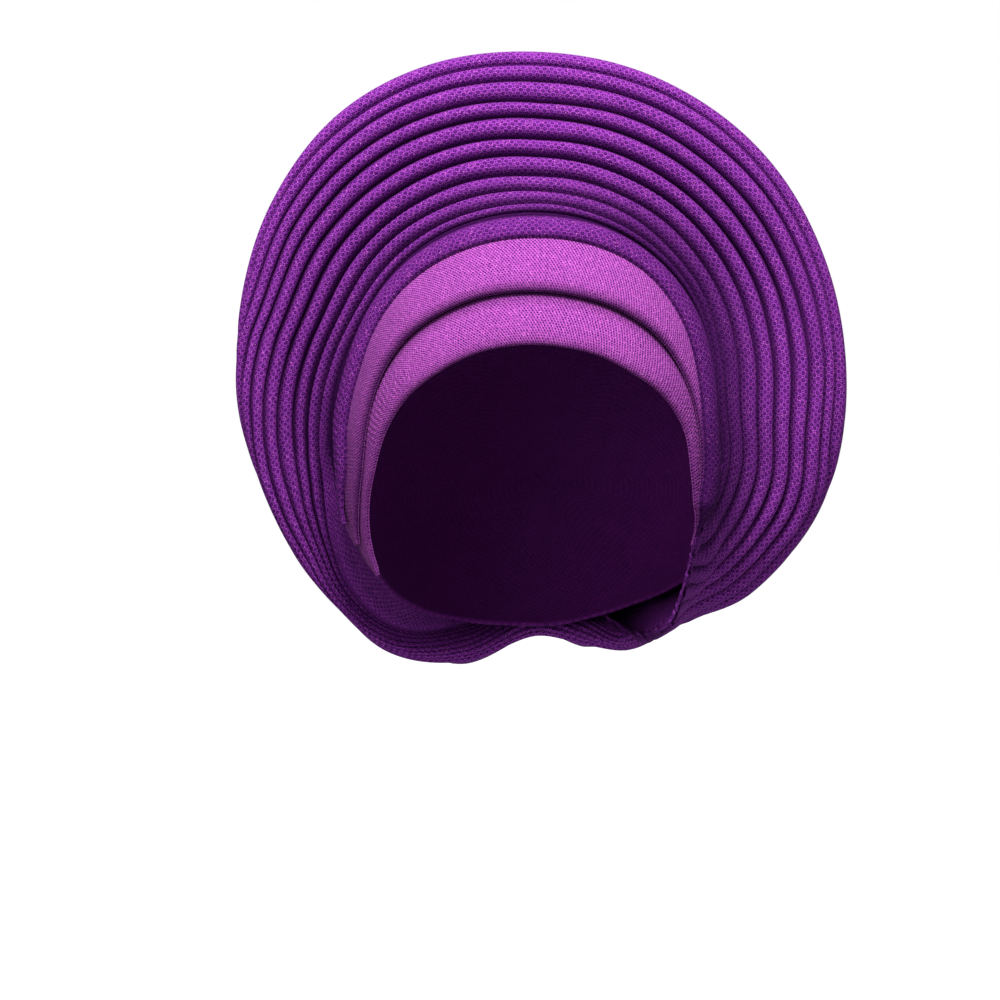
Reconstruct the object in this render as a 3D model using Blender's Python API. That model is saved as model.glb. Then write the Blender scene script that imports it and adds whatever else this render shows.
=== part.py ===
# Pleated head wrap, as worn: a bonnet, two forehead bands, a brow fold, a fan of ten rolled
# pleats that stands round the head like a halo, and a gathered drape over the back.
# +X is the wearer's left, +Y the back of the head, +Z up. The origin is the top of the head,
# inside the bonnet. Every size below is in millimetres, and MM turns it into metres.
import bmesh
import bpy
import numpy as np

MM = 0.001

# Cloth
CLOTH = 2.0             # wall of a plain layer
PLEAT_CLOTH = 2.4       # wall of the pleated fan, whose rolls are doubled cloth
GAP = 0.3               # least air between neighbouring pieces
BAND_GAP = 0.6          # air between one band and the next, which are flat facets on a round form
TUCK = 3.0              # how far a band's upper edge runs under the next one

# Head inside the bonnet, an ellipsoid with a shorter lower half
HEAD_HALF_WIDTH = 76.0
HEAD_HALF_LENGTH = 95.0
HEAD_RISE = 95.0        # from the widest level up to the top of the head
HEAD_DROP = 76.0        # from the widest level down

# Brow form that the bands are wrapped on, higher and fuller than the head
BROW_HALF_WIDTH = 80.0
BROW_HALF_LENGTH = 92.5
BROW_RISE = 118.0

# Centres that the two sets of radii are measured from, as (x, z)
BAND_CENTRE = (-3.0, -93.0)
FAN_CENTRE = (0.0, -48.4)

# Bonnet edge: height of each point, and how far round from the front it lies on either side
BONNET_EDGE_COLUMNS = ("height", "right_turn", "left_turn")
BONNET_EDGE = (
    (-42.0, 0.0, 0.0),
    (-44.0, 20.0, 20.0),
    (-60.0, 46.0, 45.0),
    (-79.0, 57.0, 58.0),
    (-95.0, 60.0, 67.0),
    (-113.0, 74.0, 74.0),
    (-130.0, 98.0, 86.0),
    (-143.0, 124.0, 98.0),
    (-151.0, 148.0, 120.0),
    (-155.0, 166.0, 150.0),
    (-156.0, 180.0, 180.0),
)

# Edges of the bands round the face: angle from +X, then the radius of each line
BAND_COLUMNS = ("angle", "face", "first", "second", "fold")
BANDS = (
    (-27.0, 70.2, 71.1, 71.4, 72.4),
    (-20.0, 67.8, 69.1, 69.8, 72.8),
    (-10.0, 65.1, 67.1, 68.0, 73.4),
    (0.0, 63.1, 67.2, 68.7, 73.8),
    (15.0, 62.4, 68.5, 70.6, 75.4),
    (30.0, 59.4, 70.7, 76.4, 82.4),
    (45.0, 54.9, 72.6, 84.9, 91.0),
    (60.0, 52.3, 72.3, 91.5, 97.0),
    (75.0, 50.3, 71.2, 93.6, 100.4),
    (90.0, 49.8, 70.9, 93.5, 100.9),
    (105.0, 50.5, 71.7, 93.3, 100.4),
    (120.0, 52.3, 72.6, 91.9, 97.5),
    (135.0, 54.7, 73.3, 87.5, 92.1),
    (150.0, 58.5, 71.8, 81.4, 85.9),
    (165.0, 61.4, 69.5, 77.9, 82.0),
    (180.0, 64.1, 69.2, 76.1, 79.0),
    (192.0, 68.0, 72.2, 78.4, 79.8),
    (203.0, 71.6, 76.2, 78.0, 79.2),
    (215.0, 75.0, 76.0, 77.2, 78.0),
)

# Strips wrapped on the brow form: the lines between which each one lies, the angles where it
# begins and ends, and its place in the stack
STRIPS = {
    "lower_forehead_band": {"inner": "face", "outer": "first", "begin": -26.0, "end": 214.0, "layer": 0},
    "upper_forehead_band": {"inner": "first", "outer": "second", "begin": 9.0, "end": 203.0, "layer": 1},
    "brow_fold": {"inner": "second", "outer": "fold", "begin": -26.0, "end": 196.0, "layer": 2},
}
STRIP_STEPS = 27
STRIP_SWELL = 0.7       # of a full band between its edges
STRIP_ARC = ((0.0, 0.0), (0.15, 0.7), (0.45, 1.0), (0.8, 0.0), (1.0, 0.0))  # shares across and of swell
FULL_BAND = 15.0        # width of a full band
STRIP_LEAST = 1.6       # narrowest that a band gets at its pointed ends
TUCK_FADE = 20.0        # degrees from a band's end over which its tuck grows
STEEPEST_BROW = 0.01    # keeps a band's points on the front of the brow form

# Fan sections round the halo: radius and depth of the inner edge and of the rim, width of the
# pleated cloth, the part of that width that is turned in round the inner edge, and how far the
# cloth behind the rim closes in, for each millimetre that it goes back
FAN_COLUMNS = ("angle", "edge_r", "edge_y", "rim_r", "rim_y", "width", "turned_in", "close")
FAN = (
    (-90.0, 88.0, 88.0, 111.0, 68.0, 26.0, 0.0, -0.6),
    (-80.0, 98.0, 77.0, 116.0, 57.0, 23.0, 0.0, -0.5),
    (-73.0, 111.5, 46.0, 120.5, 41.0, 21.0, 3.0, -0.35),
    (-68.0, 118.0, -4.0, 122.5, 24.0, 38.0, 22.0, 0.0),
    (-64.0, 116.5, -34.0, 122.8, 17.0, 42.0, 25.0, 0.2),
    (-60.0, 109.5, -46.0, 122.5, 12.0, 43.5, 22.0, 0.2),
    (-50.0, 93.2, -56.5, 126.0, 2.0, 46.0, 6.7, 0.3),
    (-40.0, 86.0, -57.0, 127.5, -3.0, 49.5, 1.5, 0.35),
    (-30.0, 79.5, -54.5, 127.5, -7.0, 57.0, 0.0, 0.35),
    (-15.0, 69.5, -52.0, 125.0, -11.0, 59.0, 0.0, 0.35),
    (0.0, 65.6, -46.0, 122.8, -14.0, 60.0, 0.0, 0.35),
    (20.0, 62.8, -41.0, 122.0, -17.0, 61.5, 0.0, 0.35),
    (40.0, 59.6, -43.5, 122.6, -19.0, 65.0, 0.0, 0.35),
    (65.0, 57.2, -48.0, 123.0, -20.0, 68.0, 0.0, 0.35),
    (90.0, 56.8, -49.0, 124.0, -20.0, 69.5, 0.0, 0.35),
    (110.0, 58.8, -45.5, 127.0, -19.0, 70.5, 0.0, 0.35),
    (130.0, 62.8, -37.0, 128.5, -18.0, 68.0, 0.0, 0.35),
    (150.0, 67.6, -27.5, 126.5, -16.0, 62.0, 0.0, 0.35),
    (170.0, 73.2, -19.0, 124.2, -12.0, 55.5, 0.0, 0.35),
    (190.0, 83.6, -9.0, 123.6, -6.0, 57.5, 0.0, 0.35),
    (200.0, 89.6, -4.0, 124.1, -1.0, 56.5, 0.0, 0.35),
    (210.0, 95.8, 0.0, 126.0, 4.0, 49.0, 0.0, 0.35),
    (220.0, 107.2, 6.0, 129.0, 12.0, 34.0, 0.0, 0.25),
    (230.0, 118.0, 18.0, 131.5, 22.0, 25.0, 0.0, 0.2),
    (242.0, 121.0, 35.0, 132.8, 37.0, 20.0, 0.0, -0.2),
    (255.0, 108.0, 66.0, 124.5, 55.0, 22.0, 0.0, -0.6),
)

# Outer crease of each pleat, as a share of the fan's width at five places round the halo
NAPE = -90.0
PLEAT_PLACES = {"right": 0.0, "top": 90.0, "left": 175.0, "temple": 200.0, "cheek": 212.0}
PLEATS = (
    (0.053, 0.088, 0.112, 0.103, 0.168),
    (0.120, 0.160, 0.205, 0.193, 0.278),
    (0.230, 0.253, 0.310, 0.292, 0.375),
    (0.346, 0.363, 0.430, 0.398, 0.467),
    (0.460, 0.464, 0.545, 0.494, 0.560),
    (0.577, 0.587, 0.650, 0.575, 0.650),
    (0.688, 0.674, 0.738, 0.680, 0.740),
    (0.798, 0.798, 0.830, 0.790, 0.830),
    (0.882, 0.898, 0.905, 0.895, 0.915),
    (1.000, 1.000, 1.000, 1.000, 1.000),
)

# Stretches of the halo's circle as (begin, end, steps), closer at the turn under the jaw
HALO = (
    (-90.0, -45.0, 12),
    (-45.0, 200.0, 34),
    (200.0, 270.0, 10),
)
FAN_VALLEY = 10.0       # how far the pleats behind the brow fold stand back
VALLEY_PEAK = 4 / 27    # largest value of s (1 - s)^2, the valley's shape
SECTION_STEP = 0.05     # distance over which a section's direction is taken
HEM = 6.0               # plain cloth inside the innermost pleat, at most
HEM_LEAST = 1.5
HEM_SHARE = 0.15        # of the distance from the inner edge to the rim
ROLL_HEIGHT = 4.4       # of a full pleat above its creases
ROLL_SLENDERNESS = 0.66  # height of a narrow pleat as a share of its width
ROLL_ARC = ((0.0, 0.0), (0.2, 0.78), (0.5, 1.0), (0.8, 0.78))  # share across a pleat, share of height
TURN_SOFTNESS = 4.0     # roundness of the cloth where it turns over the rim or the inner edge
TURN_IN_FLARE = 0.3     # how far turned-in cloth spreads, for each millimetre that it goes back
FAN_OFF_CHEEK = 2.9     # least distance of the fan's plain cloth from the head form, at the face
FAN_OFF_CAP = 5.2       # and where the bonnet lies between them
CHEEK_DEPTH = (0.0, 30.0)  # depths between which the one distance grows into the other

# Drape over the back, from behind the rim to the gather at the back of the head
GATHER_POINT = (0.0, 111.0, -112.0)
DRAPE_UNDER_RIM = 4.0   # overlap behind the fan's last pleat
DRAPE_GAP = 0.8         # air between that pleat and the drape
DRAPE_BUTT = 1.4        # distance behind the fan where they don't overlap
WIDE_CLOSE = 0.35       # closing behind the rim from which on the drape has its whole overlap
BUTT_CLOSE = 0.20       # and down to which it has none, and starts where the fan ends
DRAPE_ROWS = 8
DRAPE_RIM_PULL = 0.30   # how long the cloth follows the rim, as a share of the way
DRAPE_GATHER_PULL = 0.60
DRAPE_GATHERS = 14
DRAPE_GATHER_HEIGHT = 1.6
DRAPE_OFF_HEAD = 6.4    # least distance of the drape's outside from the head form

BONNET_STEPS = 40
BONNET_ROWS = 7

COLOURS = {
    "crown_cap": (0.085, 0.010, 0.130),
    "lower_forehead_band": (0.330, 0.050, 0.420),
    "upper_forehead_band": (0.310, 0.045, 0.400),
    "brow_fold": (0.210, 0.025, 0.300),
    "pleated_fan": (0.180, 0.020, 0.270),
    "back_drape": (0.160, 0.018, 0.240),
}
CLOTH_ROUGHNESS = 0.72
SHARP_ANGLE = 55.0      # degrees from which an edge is shaded sharp


def column(table, names, name):
    """One named column of a table, as an array."""
    return np.array([row[names.index(name)] for row in table])


def through(knots, values, at):
    """Smooth curve through the values, read at the given places: cubic pieces whose slope at
    a knot is that of the line between its two neighbours."""
    slopes = np.gradient(values, knots)
    piece = np.clip(np.searchsorted(knots, at, side="right") - 1, 0, len(knots) - 2)
    span = knots[piece + 1] - knots[piece]
    t = (at - knots[piece]) / span
    return (
        values[piece] * (1 + 2 * t) * (1 - t) ** 2
        + slopes[piece] * span * t * (1 - t) ** 2
        + values[piece + 1] * t * t * (3 - 2 * t)
        + slopes[piece + 1] * span * t * t * (t - 1)
    )


def halo_angles():
    """Angles of the sections that the fan and the drape share, once round."""
    return np.concatenate([np.linspace(begin, end, steps, endpoint=False) for begin, end, steps in HALO])


def round_the_halo(name, at):
    """A column of the fan's table at any angle, with the table repeated on both sides so that
    the curve closes on itself."""
    angles = column(FAN, FAN_COLUMNS, "angle")
    values = column(FAN, FAN_COLUMNS, name)
    knots = np.concatenate([angles - 360.0, angles, angles + 360.0])
    return through(knots, np.tile(values, 3), at)


def ramp(distance):
    """Zero before the turn and the distance after it, with a round corner between."""
    return (distance + np.sqrt(distance**2 + TURN_SOFTNESS**2)) / 2


def fan_point(angle, along):
    """Radius and depth of the fan's plain cloth, without its rolls, at distances along the
    pleated width. It runs from the inner edge out to the rim, with the valley behind the brow
    fold, and turns back beyond each of them."""
    edge_r = round_the_halo("edge_r", angle)
    edge_y = round_the_halo("edge_y", angle)
    rim_r = round_the_halo("rim_r", angle)
    rim_y = round_the_halo("rim_y", angle)
    out = along - round_the_halo("turned_in", angle)
    spread = rim_r - edge_r
    inside = ramp(-out)
    behind = ramp(out - spread)
    share = np.clip(out / spread, 0.0, 1.0)
    flare = TURN_IN_FLARE * np.cos(np.radians(angle))
    r = edge_r + out + (1 + flare) * inside - (1 + round_the_halo("close", angle)) * behind
    valley = FAN_VALLEY * share * (1 - share) ** 2 / VALLEY_PEAK
    y = edge_y + (rim_y - edge_y) * share + valley
    return r, y + inside + behind


def clear_of_head(points, lift):
    """Moves points that lie nearer to the head form than the lift straight out from its middle
    to that distance, and leaves the others."""
    middle = np.array([0.0, 0.0, -HEAD_RISE])
    arm = points - middle
    reach = np.where(arm[..., 2] > 0, HEAD_RISE, HEAD_DROP) + lift
    wide = HEAD_HALF_WIDTH + lift
    long = HEAD_HALF_LENGTH + lift
    half = np.stack(np.broadcast_arrays(wide, long, reach), axis=-1)
    size = np.linalg.norm(arm / half, axis=-1)
    return middle + arm / np.minimum(size, 1.0)[..., None]


def halo_point(angle, r, y):
    """Point at a radius and depth in the halo's own section at an angle."""
    x = FAN_CENTRE[0] + r * np.cos(np.radians(angle))
    z = FAN_CENTRE[1] + r * np.sin(np.radians(angle))
    return np.stack(np.broadcast_arrays(x, y, z), axis=-1)


def fan_surface(angle, along, height):
    """Points of the fan, raised by a height above the plain cloth, square to its section. Where
    the plain cloth would reach the head, it and what is raised on it move out together."""
    r, y = fan_point(angle, along)
    r_next, y_next = fan_point(angle, along + SECTION_STEP)
    raise_by = height / np.hypot(r_next - r, y_next - y)
    plain = halo_point(angle, r, y)
    raised = halo_point(angle, r + raise_by * (y_next - y), y - raise_by * (r_next - r))
    lift = np.interp(plain[..., 1], CHEEK_DEPTH, (FAN_OFF_CHEEK, FAN_OFF_CAP))
    return raised + clear_of_head(plain, lift) - plain


def crease_shares(angle):
    """Shares of the width where the creases lie, one row for each angle, from the inner edge
    outwards. At the nape each pleat has the mean of its shares elsewhere."""
    knots = [NAPE, *PLEAT_PLACES.values(), NAPE + 360.0]
    wrapped = np.mod(angle - NAPE, 360.0) + NAPE
    creases = [np.zeros_like(wrapped)]
    for pleat in PLEATS:
        at_nape = np.mean(pleat)
        creases.append(np.interp(wrapped, knots, [at_nape, *pleat, at_nape]))
    return np.stack(creases, axis=-1)


def roll_heights(angle, creases):
    """Height of each pleat's roll: full where there is room, lower where pleats crowd, and
    nothing where they are turned in."""
    start = creases[:, :-1]
    finish = creases[:, 1:]
    column_angle = angle[:, None]
    r0, y0 = fan_point(column_angle, start)
    r1, y1 = fan_point(column_angle, finish)
    pitch = np.hypot(r1 - r0, y1 - y0)
    middle = (start + finish) / 2 - round_the_halo("turned_in", column_angle)
    shown = np.clip(1 + middle / HEM, 0.0, 1.0)
    return np.minimum(ROLL_HEIGHT, ROLL_SLENDERNESS * pitch) * shown


def fan_walls():
    """Grids of the fan's front and back, one row for each angle round the halo."""
    angle = halo_angles()
    width = round_the_halo("width", angle)
    creases = crease_shares(angle) * width[:, None]
    heights = roll_heights(angle, creases)
    plain = np.zeros_like(angle)
    spread = round_the_halo("rim_r", angle) - round_the_halo("edge_r", angle)
    hem = np.clip(HEM_SHARE * spread, HEM_LEAST, HEM)
    front = [(-hem, plain), (-hem / 2, plain)]
    back = [(-hem, plain)]
    for k in range(len(PLEATS)):
        start = creases[:, k]
        pitch = creases[:, k + 1] - start
        for across, share in ROLL_ARC:
            front.append((start + across * pitch, share * heights[:, k]))
        back.append((start, plain))
        back.append((start + pitch / 2, np.maximum(heights[:, k] - PLEAT_CLOTH / 4, 0.0)))
    front.append((width, plain))
    back.append((width, plain))
    front_grid = [fan_surface(angle, along, height) for along, height in front]
    back_grid = [fan_surface(angle, along, height - PLEAT_CLOTH) for along, height in back]
    return np.stack(front_grid, axis=1), np.stack(back_grid, axis=1)


def head_direction(turn, height):
    """Direction on a unit ball of a point on the head form: turn is 0 at the front, 90 at the
    wearer's left and -90 at the right, and height is measured from the top of the head."""
    level = height + HEAD_RISE
    up = level / np.where(level > 0, HEAD_RISE, HEAD_DROP)
    size = np.sqrt(np.clip(1 - up**2, 0.0, 1.0))
    return np.stack([size * np.sin(np.radians(turn)), -size * np.cos(np.radians(turn)), up], axis=-1)


def head_surface(unit, lift):
    """Takes directions on a unit ball to the head form with a layer of the given lift on it."""
    reach = np.where(unit[..., 2] > 0, HEAD_RISE, HEAD_DROP) + lift
    wide = np.full_like(reach, HEAD_HALF_WIDTH + lift)
    long = np.full_like(reach, HEAD_HALF_LENGTH + lift)
    return unit * np.stack([wide, long, reach], axis=-1) - np.array([0.0, 0.0, HEAD_RISE])


def bonnet_walls():
    """Grids of the bonnet's outside and inside: from its edge round the face and the neck to
    the middle of the back of the head, along great circles of the head form."""
    height = column(BONNET_EDGE, BONNET_EDGE_COLUMNS, "height")
    right = column(BONNET_EDGE, BONNET_EDGE_COLUMNS, "right_turn")
    left = column(BONNET_EDGE, BONNET_EDGE_COLUMNS, "left_turn")
    loop_turn = np.concatenate([right, -left[-2::-1]])
    loop_height = np.concatenate([height, height[-2::-1]])
    loop_turn[len(height):] += 360.0
    edge = head_surface(head_direction(loop_turn, loop_height), 0.0)
    walked = np.concatenate([[0.0], np.cumsum(np.linalg.norm(np.diff(edge, axis=0), axis=1))])
    at = np.linspace(0.0, walked[-1], BONNET_STEPS, endpoint=False)
    rim = head_direction(np.interp(at, walked, loop_turn), np.interp(at, walked, loop_height))
    pole = np.array([0.0, 1.0, 0.0])
    apart = np.arccos(np.clip(rim @ pole, -1.0, 1.0))[:, None, None]
    share = np.linspace(0.0, 1.0, BONNET_ROWS, endpoint=False)[None, :, None]
    unit = (np.sin((1 - share) * apart) * rim[:, None, :] + np.sin(share * apart) * pole) / np.sin(apart)
    outside = head_surface(unit, CLOTH)
    inside = head_surface(unit, 0.0)
    return outside, inside, head_surface(pole, CLOTH), head_surface(pole, 0.0)


def brow_point(x, z, lift):
    """Point on the front of the brow form, a lift outside it, with its outward direction."""
    size = np.array([BROW_HALF_WIDTH, BROW_HALF_LENGTH, BROW_RISE]) + lift
    across = x / size[0]
    up = (z + HEAD_RISE) / size[2]
    forward = -np.sqrt(np.clip(1 - across**2 - up**2, STEEPEST_BROW, 1.0))
    point = np.stack([x, forward * size[1], z], axis=-1)
    outward = np.stack([across / size[0], forward / size[1], up / size[2]], axis=-1)
    return point, outward / np.linalg.norm(outward, axis=-1, keepdims=True)


def strip_walls(inner, outer, begin, end, layer):
    """Grids of a band's outside and inside, one row for each angle round the face."""
    knots = column(BANDS, BAND_COLUMNS, "angle")
    angle = np.linspace(begin, end, STRIP_STEPS)
    low = through(knots, column(BANDS, BAND_COLUMNS, inner), angle)
    high = through(knots, column(BANDS, BAND_COLUMNS, outer), angle)
    ends = np.minimum(angle - begin, end - angle)
    under = TUCK * np.clip(ends / TUCK_FADE, 0.0, 1.0) if layer < len(STRIPS) - 1 else 0.0
    high = np.maximum(high + under, low + STRIP_LEAST)
    across, share = np.array(STRIP_ARC).T
    radius = low[:, None] + (high - low)[:, None] * across
    x = BAND_CENTRE[0] + radius * np.cos(np.radians(angle))[:, None]
    z = BAND_CENTRE[1] + radius * np.sin(np.radians(angle))[:, None]
    surface, outward = brow_point(x, z, layer * (CLOTH + BAND_GAP) + CLOTH)
    swell = STRIP_SWELL * share * np.clip((high - low) / FULL_BAND, 0.0, 1.0)[:, None]
    outside = surface + outward * swell[..., None]
    return outside, outside - outward * CLOTH


def drape_walls():
    """Grids of the drape's outside and inside: each line leaves the back of the rim along the
    turned cloth and bends in to the gather point, with soft gathers that fade at both ends."""
    angle = halo_angles()
    close = round_the_halo("close", angle)
    overlap = np.interp(close, (BUTT_CLOSE, WIDE_CLOSE), (-DRAPE_BUTT, DRAPE_UNDER_RIM))
    start_along = round_the_halo("width", angle) - overlap
    start = fan_surface(angle, start_along, -(PLEAT_CLOTH + DRAPE_GAP))
    onward = halo_point(angle, -close, 1.0) - halo_point(angle, 0.0, 0.0)
    gather = np.array(GATHER_POINT)
    way = start - gather
    reach = np.linalg.norm(way, axis=1, keepdims=True)
    aside = way * np.array([1.0, 0.0, 1.0])
    aside = aside / np.linalg.norm(aside, axis=1, keepdims=True)
    first = start + onward * DRAPE_RIM_PULL * reach
    second = gather + aside * DRAPE_GATHER_PULL * reach
    t = np.linspace(0.0, 1.0, DRAPE_ROWS + 1)[None, :-1, None]
    curve = (
        start[:, None] * (1 - t) ** 3
        + 3 * first[:, None] * t * (1 - t) ** 2
        + 3 * second[:, None] * t * t * (1 - t)
        + gather * t**3
    )
    curve = clear_of_head(curve, DRAPE_OFF_HEAD)
    along = np.gradient(curve, axis=1)
    around = np.roll(curve, -1, axis=0) - np.roll(curve, 1, axis=0)
    outward = np.cross(along, around)
    outward = outward / np.linalg.norm(outward, axis=2, keepdims=True)
    fade = np.sin(np.pi * t) ** 2
    gathers = DRAPE_GATHER_HEIGHT * fade * np.cos(np.radians(angle) * DRAPE_GATHERS)[:, None, None]
    outside = curve + outward * gathers
    inside = outside - outward * CLOTH
    return outside, inside, gather, gather - np.array([0.0, CLOTH, 0.0])


def add_object(name, vertices, faces):
    """Mesh object of one closed body, its faces turned outwards and its rounds shaded smooth."""
    mesh = bpy.data.meshes.new(name)
    mesh.from_pydata((vertices * MM).tolist(), [], faces)
    body = bmesh.new()
    body.from_mesh(mesh)
    bmesh.ops.recalc_face_normals(body, faces=body.faces)
    bmesh.ops.triangulate(body, faces=body.faces)
    body.to_mesh(mesh)
    body.free()
    mesh.shade_smooth()
    mesh.set_sharp_from_angle(angle=np.radians(SHARP_ANGLE))
    item = bpy.data.objects.new(name, mesh)
    bpy.context.scene.collection.objects.link(item)
    item.data.materials.append(cloth_material(name))
    return item


def cloth_material(name):
    material = bpy.data.materials.new(name + "_cloth")
    material.use_nodes = True
    shader = material.node_tree.nodes["Principled BSDF"]
    shader.inputs["Base Color"].default_value = (*COLOURS[name], 1.0)
    shader.inputs["Roughness"].default_value = CLOTH_ROUGHNESS
    shader.inputs["Metallic"].default_value = 0.0
    return material


def grid_faces(rows, columns, first, closed):
    """Faces of a grid of numbered points, with its last row joined to its first if closed."""
    faces = []
    for i in range(rows if closed else rows - 1):
        here = first + i * columns
        after = first + ((i + 1) % rows) * columns
        for j in range(columns - 1):
            faces.append((here + j, here + j + 1, after + j + 1, after + j))
    return faces


def add_ring(name, outside, inside):
    """Ring of cloth between two grids that may differ in columns, joined along both edges."""
    rows, outer, _ = outside.shape
    inner = inside.shape[1]
    base = rows * outer
    faces = grid_faces(rows, outer, 0, True) + grid_faces(rows, inner, base, True)
    for i in range(rows):
        after = (i + 1) % rows
        faces.append((i * outer, after * outer, base + after * inner, base + i * inner))
        faces.append((
            (i + 1) * outer - 1,
            base + (i + 1) * inner - 1,
            base + (after + 1) * inner - 1,
            (after + 1) * outer - 1,
        ))
    return add_object(name, np.concatenate([outside.reshape(-1, 3), inside.reshape(-1, 3)]), faces)


def add_bag(name, outside, inside, outer_pole, inner_pole):
    """Bag of cloth: a ring whose inner edges close on a pole."""
    rows, columns, _ = outside.shape
    base = rows * columns
    faces = grid_faces(rows, columns, 0, True) + grid_faces(rows, columns, base, True)
    poles = 2 * base
    for i in range(rows):
        after = (i + 1) % rows
        faces.append((i * columns, after * columns, base + after * columns, base + i * columns))
        faces.append(((i + 1) * columns - 1, (after + 1) * columns - 1, poles))
        faces.append((base + (i + 1) * columns - 1, poles + 1, base + (after + 1) * columns - 1))
    points = [outside.reshape(-1, 3), inside.reshape(-1, 3), outer_pole[None, :], inner_pole[None, :]]
    return add_object(name, np.concatenate(points), faces)


def add_strip(name, outside, inside):
    """Strip of cloth with two ends: a loop of points for each row, with a face at each end."""
    loops = np.concatenate([outside, inside[:, ::-1]], axis=1)
    rows, around, _ = loops.shape
    faces = []
    for i in range(rows - 1):
        here = i * around
        after = here + around
        for j in range(around):
            beside = (j + 1) % around
            faces.append((here + j, here + beside, after + beside, after + j))
    faces.append(tuple(range(around)))
    faces.append(tuple(range((rows - 1) * around, rows * around)))
    return add_object(name, loops.reshape(-1, 3), faces)


def main():
    for item in list(bpy.data.objects):
        bpy.data.objects.remove(item, do_unlink=True)
    add_bag("crown_cap", *bonnet_walls())
    for name, strip in STRIPS.items():
        add_strip(name, *strip_walls(**strip))
    add_ring("pleated_fan", *fan_walls())
    add_bag("back_drape", *drape_walls())


main()
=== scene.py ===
# Pleated turban: fine cloth surfaces, knit materials, stage, light and camera.
# Lengths in the tables are millimetres in the part's own frame: +X the right of the front view,
# +Y the back, +Z up, origin at the top of the bonnet's hollow. Angles are degrees round the fan or
# the bands as the front view shows them: 0 at +X, 90 at the top, 180 at -X, -90 and 270 below.
import bpy
import numpy as np
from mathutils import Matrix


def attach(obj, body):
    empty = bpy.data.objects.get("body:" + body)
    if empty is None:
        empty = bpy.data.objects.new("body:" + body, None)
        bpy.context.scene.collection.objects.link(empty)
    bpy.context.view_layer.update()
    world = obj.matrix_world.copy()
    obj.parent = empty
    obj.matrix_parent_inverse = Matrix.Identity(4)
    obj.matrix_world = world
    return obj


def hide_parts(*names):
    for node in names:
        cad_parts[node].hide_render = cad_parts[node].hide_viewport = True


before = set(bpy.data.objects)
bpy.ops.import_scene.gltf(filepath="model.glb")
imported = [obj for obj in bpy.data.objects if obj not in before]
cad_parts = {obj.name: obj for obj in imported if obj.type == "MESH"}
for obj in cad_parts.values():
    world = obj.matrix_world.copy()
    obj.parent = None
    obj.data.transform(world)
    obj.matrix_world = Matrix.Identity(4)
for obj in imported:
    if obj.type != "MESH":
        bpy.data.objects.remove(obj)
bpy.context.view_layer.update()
mm = 0.001


# shapes shared by the pieces: two ellipsoids with their middle at z = -blockForm rise
blockForm = {"halfWidth": 76.0, "halfLength": 95.0, "rise": 95.0, "drop": 76.0}     # in the bonnet
browForm = {"halfWidth": 80.0, "halfLength": 92.5, "rise": 118.0}                  # under the bands
bandCentre = (-3.0, -93.0)      # x, z
fanCentre = (0.0, -48.4)        # x, z


def smoothstep(low, high, x):
    # t^2 (3 - 2t), with t = (x - low) / (high - low) held between 0 and 1
    t = np.clip((x - low) / (high - low), 0.0, 1.0)
    return t * t * (3 - 2 * t)


def through(knots, values, at):
    # cubic Hermite pieces through the values, slope at a knot = slope between its neighbours
    knots = np.asarray(knots, float)
    values = np.asarray(values, float)
    slopes = np.gradient(values, knots)
    piece = np.clip(np.searchsorted(knots, at, side="right") - 1, 0, len(knots) - 2)
    span = knots[piece + 1] - knots[piece]
    t = np.clip((at - knots[piece]) / span, 0.0, 1.0)
    return (values[piece] * (1 + 2 * t) * (1 - t) ** 2 + slopes[piece] * span * t * (1 - t) ** 2
            + values[piece + 1] * t * t * (3 - 2 * t) + slopes[piece + 1] * span * t * t * (t - 1))


def waves(at, counts, phases, shares):
    # sum of shares * sin(counts * at + phases), at in radians; whole counts close round a circle
    total = np.zeros_like(at)
    for count, phase, share in zip(counts, phases, shares):
        total = total + share * np.sin(count * at + phase)
    return total


def unitNormals(grid):
    # cross product of the directions of a grid whose rows close round: (d / d column) x (d / d row)
    rowWise = np.roll(grid, -1, axis=0) - np.roll(grid, 1, axis=0)
    columnWise = np.gradient(grid, axis=1)
    normal = np.cross(columnWise, rowWise)
    return normal / np.maximum(np.linalg.norm(normal, axis=-1, keepdims=True), 1e-9)


def arcLengths(grid, axis):
    # running length along one direction of a grid, starting from 0
    steps = np.linalg.norm(np.diff(grid, axis=axis), axis=-1)
    start = np.zeros_like(np.take(steps, [0], axis=axis))
    return np.concatenate([start, np.cumsum(steps, axis=axis)], axis=axis)


def clearOfBlock(points, lift):
    # points nearer to the inner ellipsoid than the lift move straight out from its middle:
    # arm / min(|arm / half|, 1), half the ellipsoid's half sizes plus the lift
    middle = np.array([0.0, 0.0, -blockForm["rise"]])
    arm = points - middle
    reach = np.where(arm[..., 2] > 0, blockForm["rise"], blockForm["drop"]) + lift
    wide = blockForm["halfWidth"] + lift
    deep = blockForm["halfLength"] + lift
    half = np.stack(np.broadcast_arrays(wide, deep, reach), axis=-1)
    size = np.linalg.norm(arm / half, axis=-1)
    return middle + arm / np.minimum(size, 1.0)[..., None]


def edgeRound(distance, thickness):
    # half thickness at a distance from a folded edge: a half circle, then flat
    radius = thickness / 2
    inside = np.clip(1 - distance / radius, 0.0, 1.0)
    return radius * np.sqrt(np.clip(1 - inside**2, 0.0, 1.0))


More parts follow.
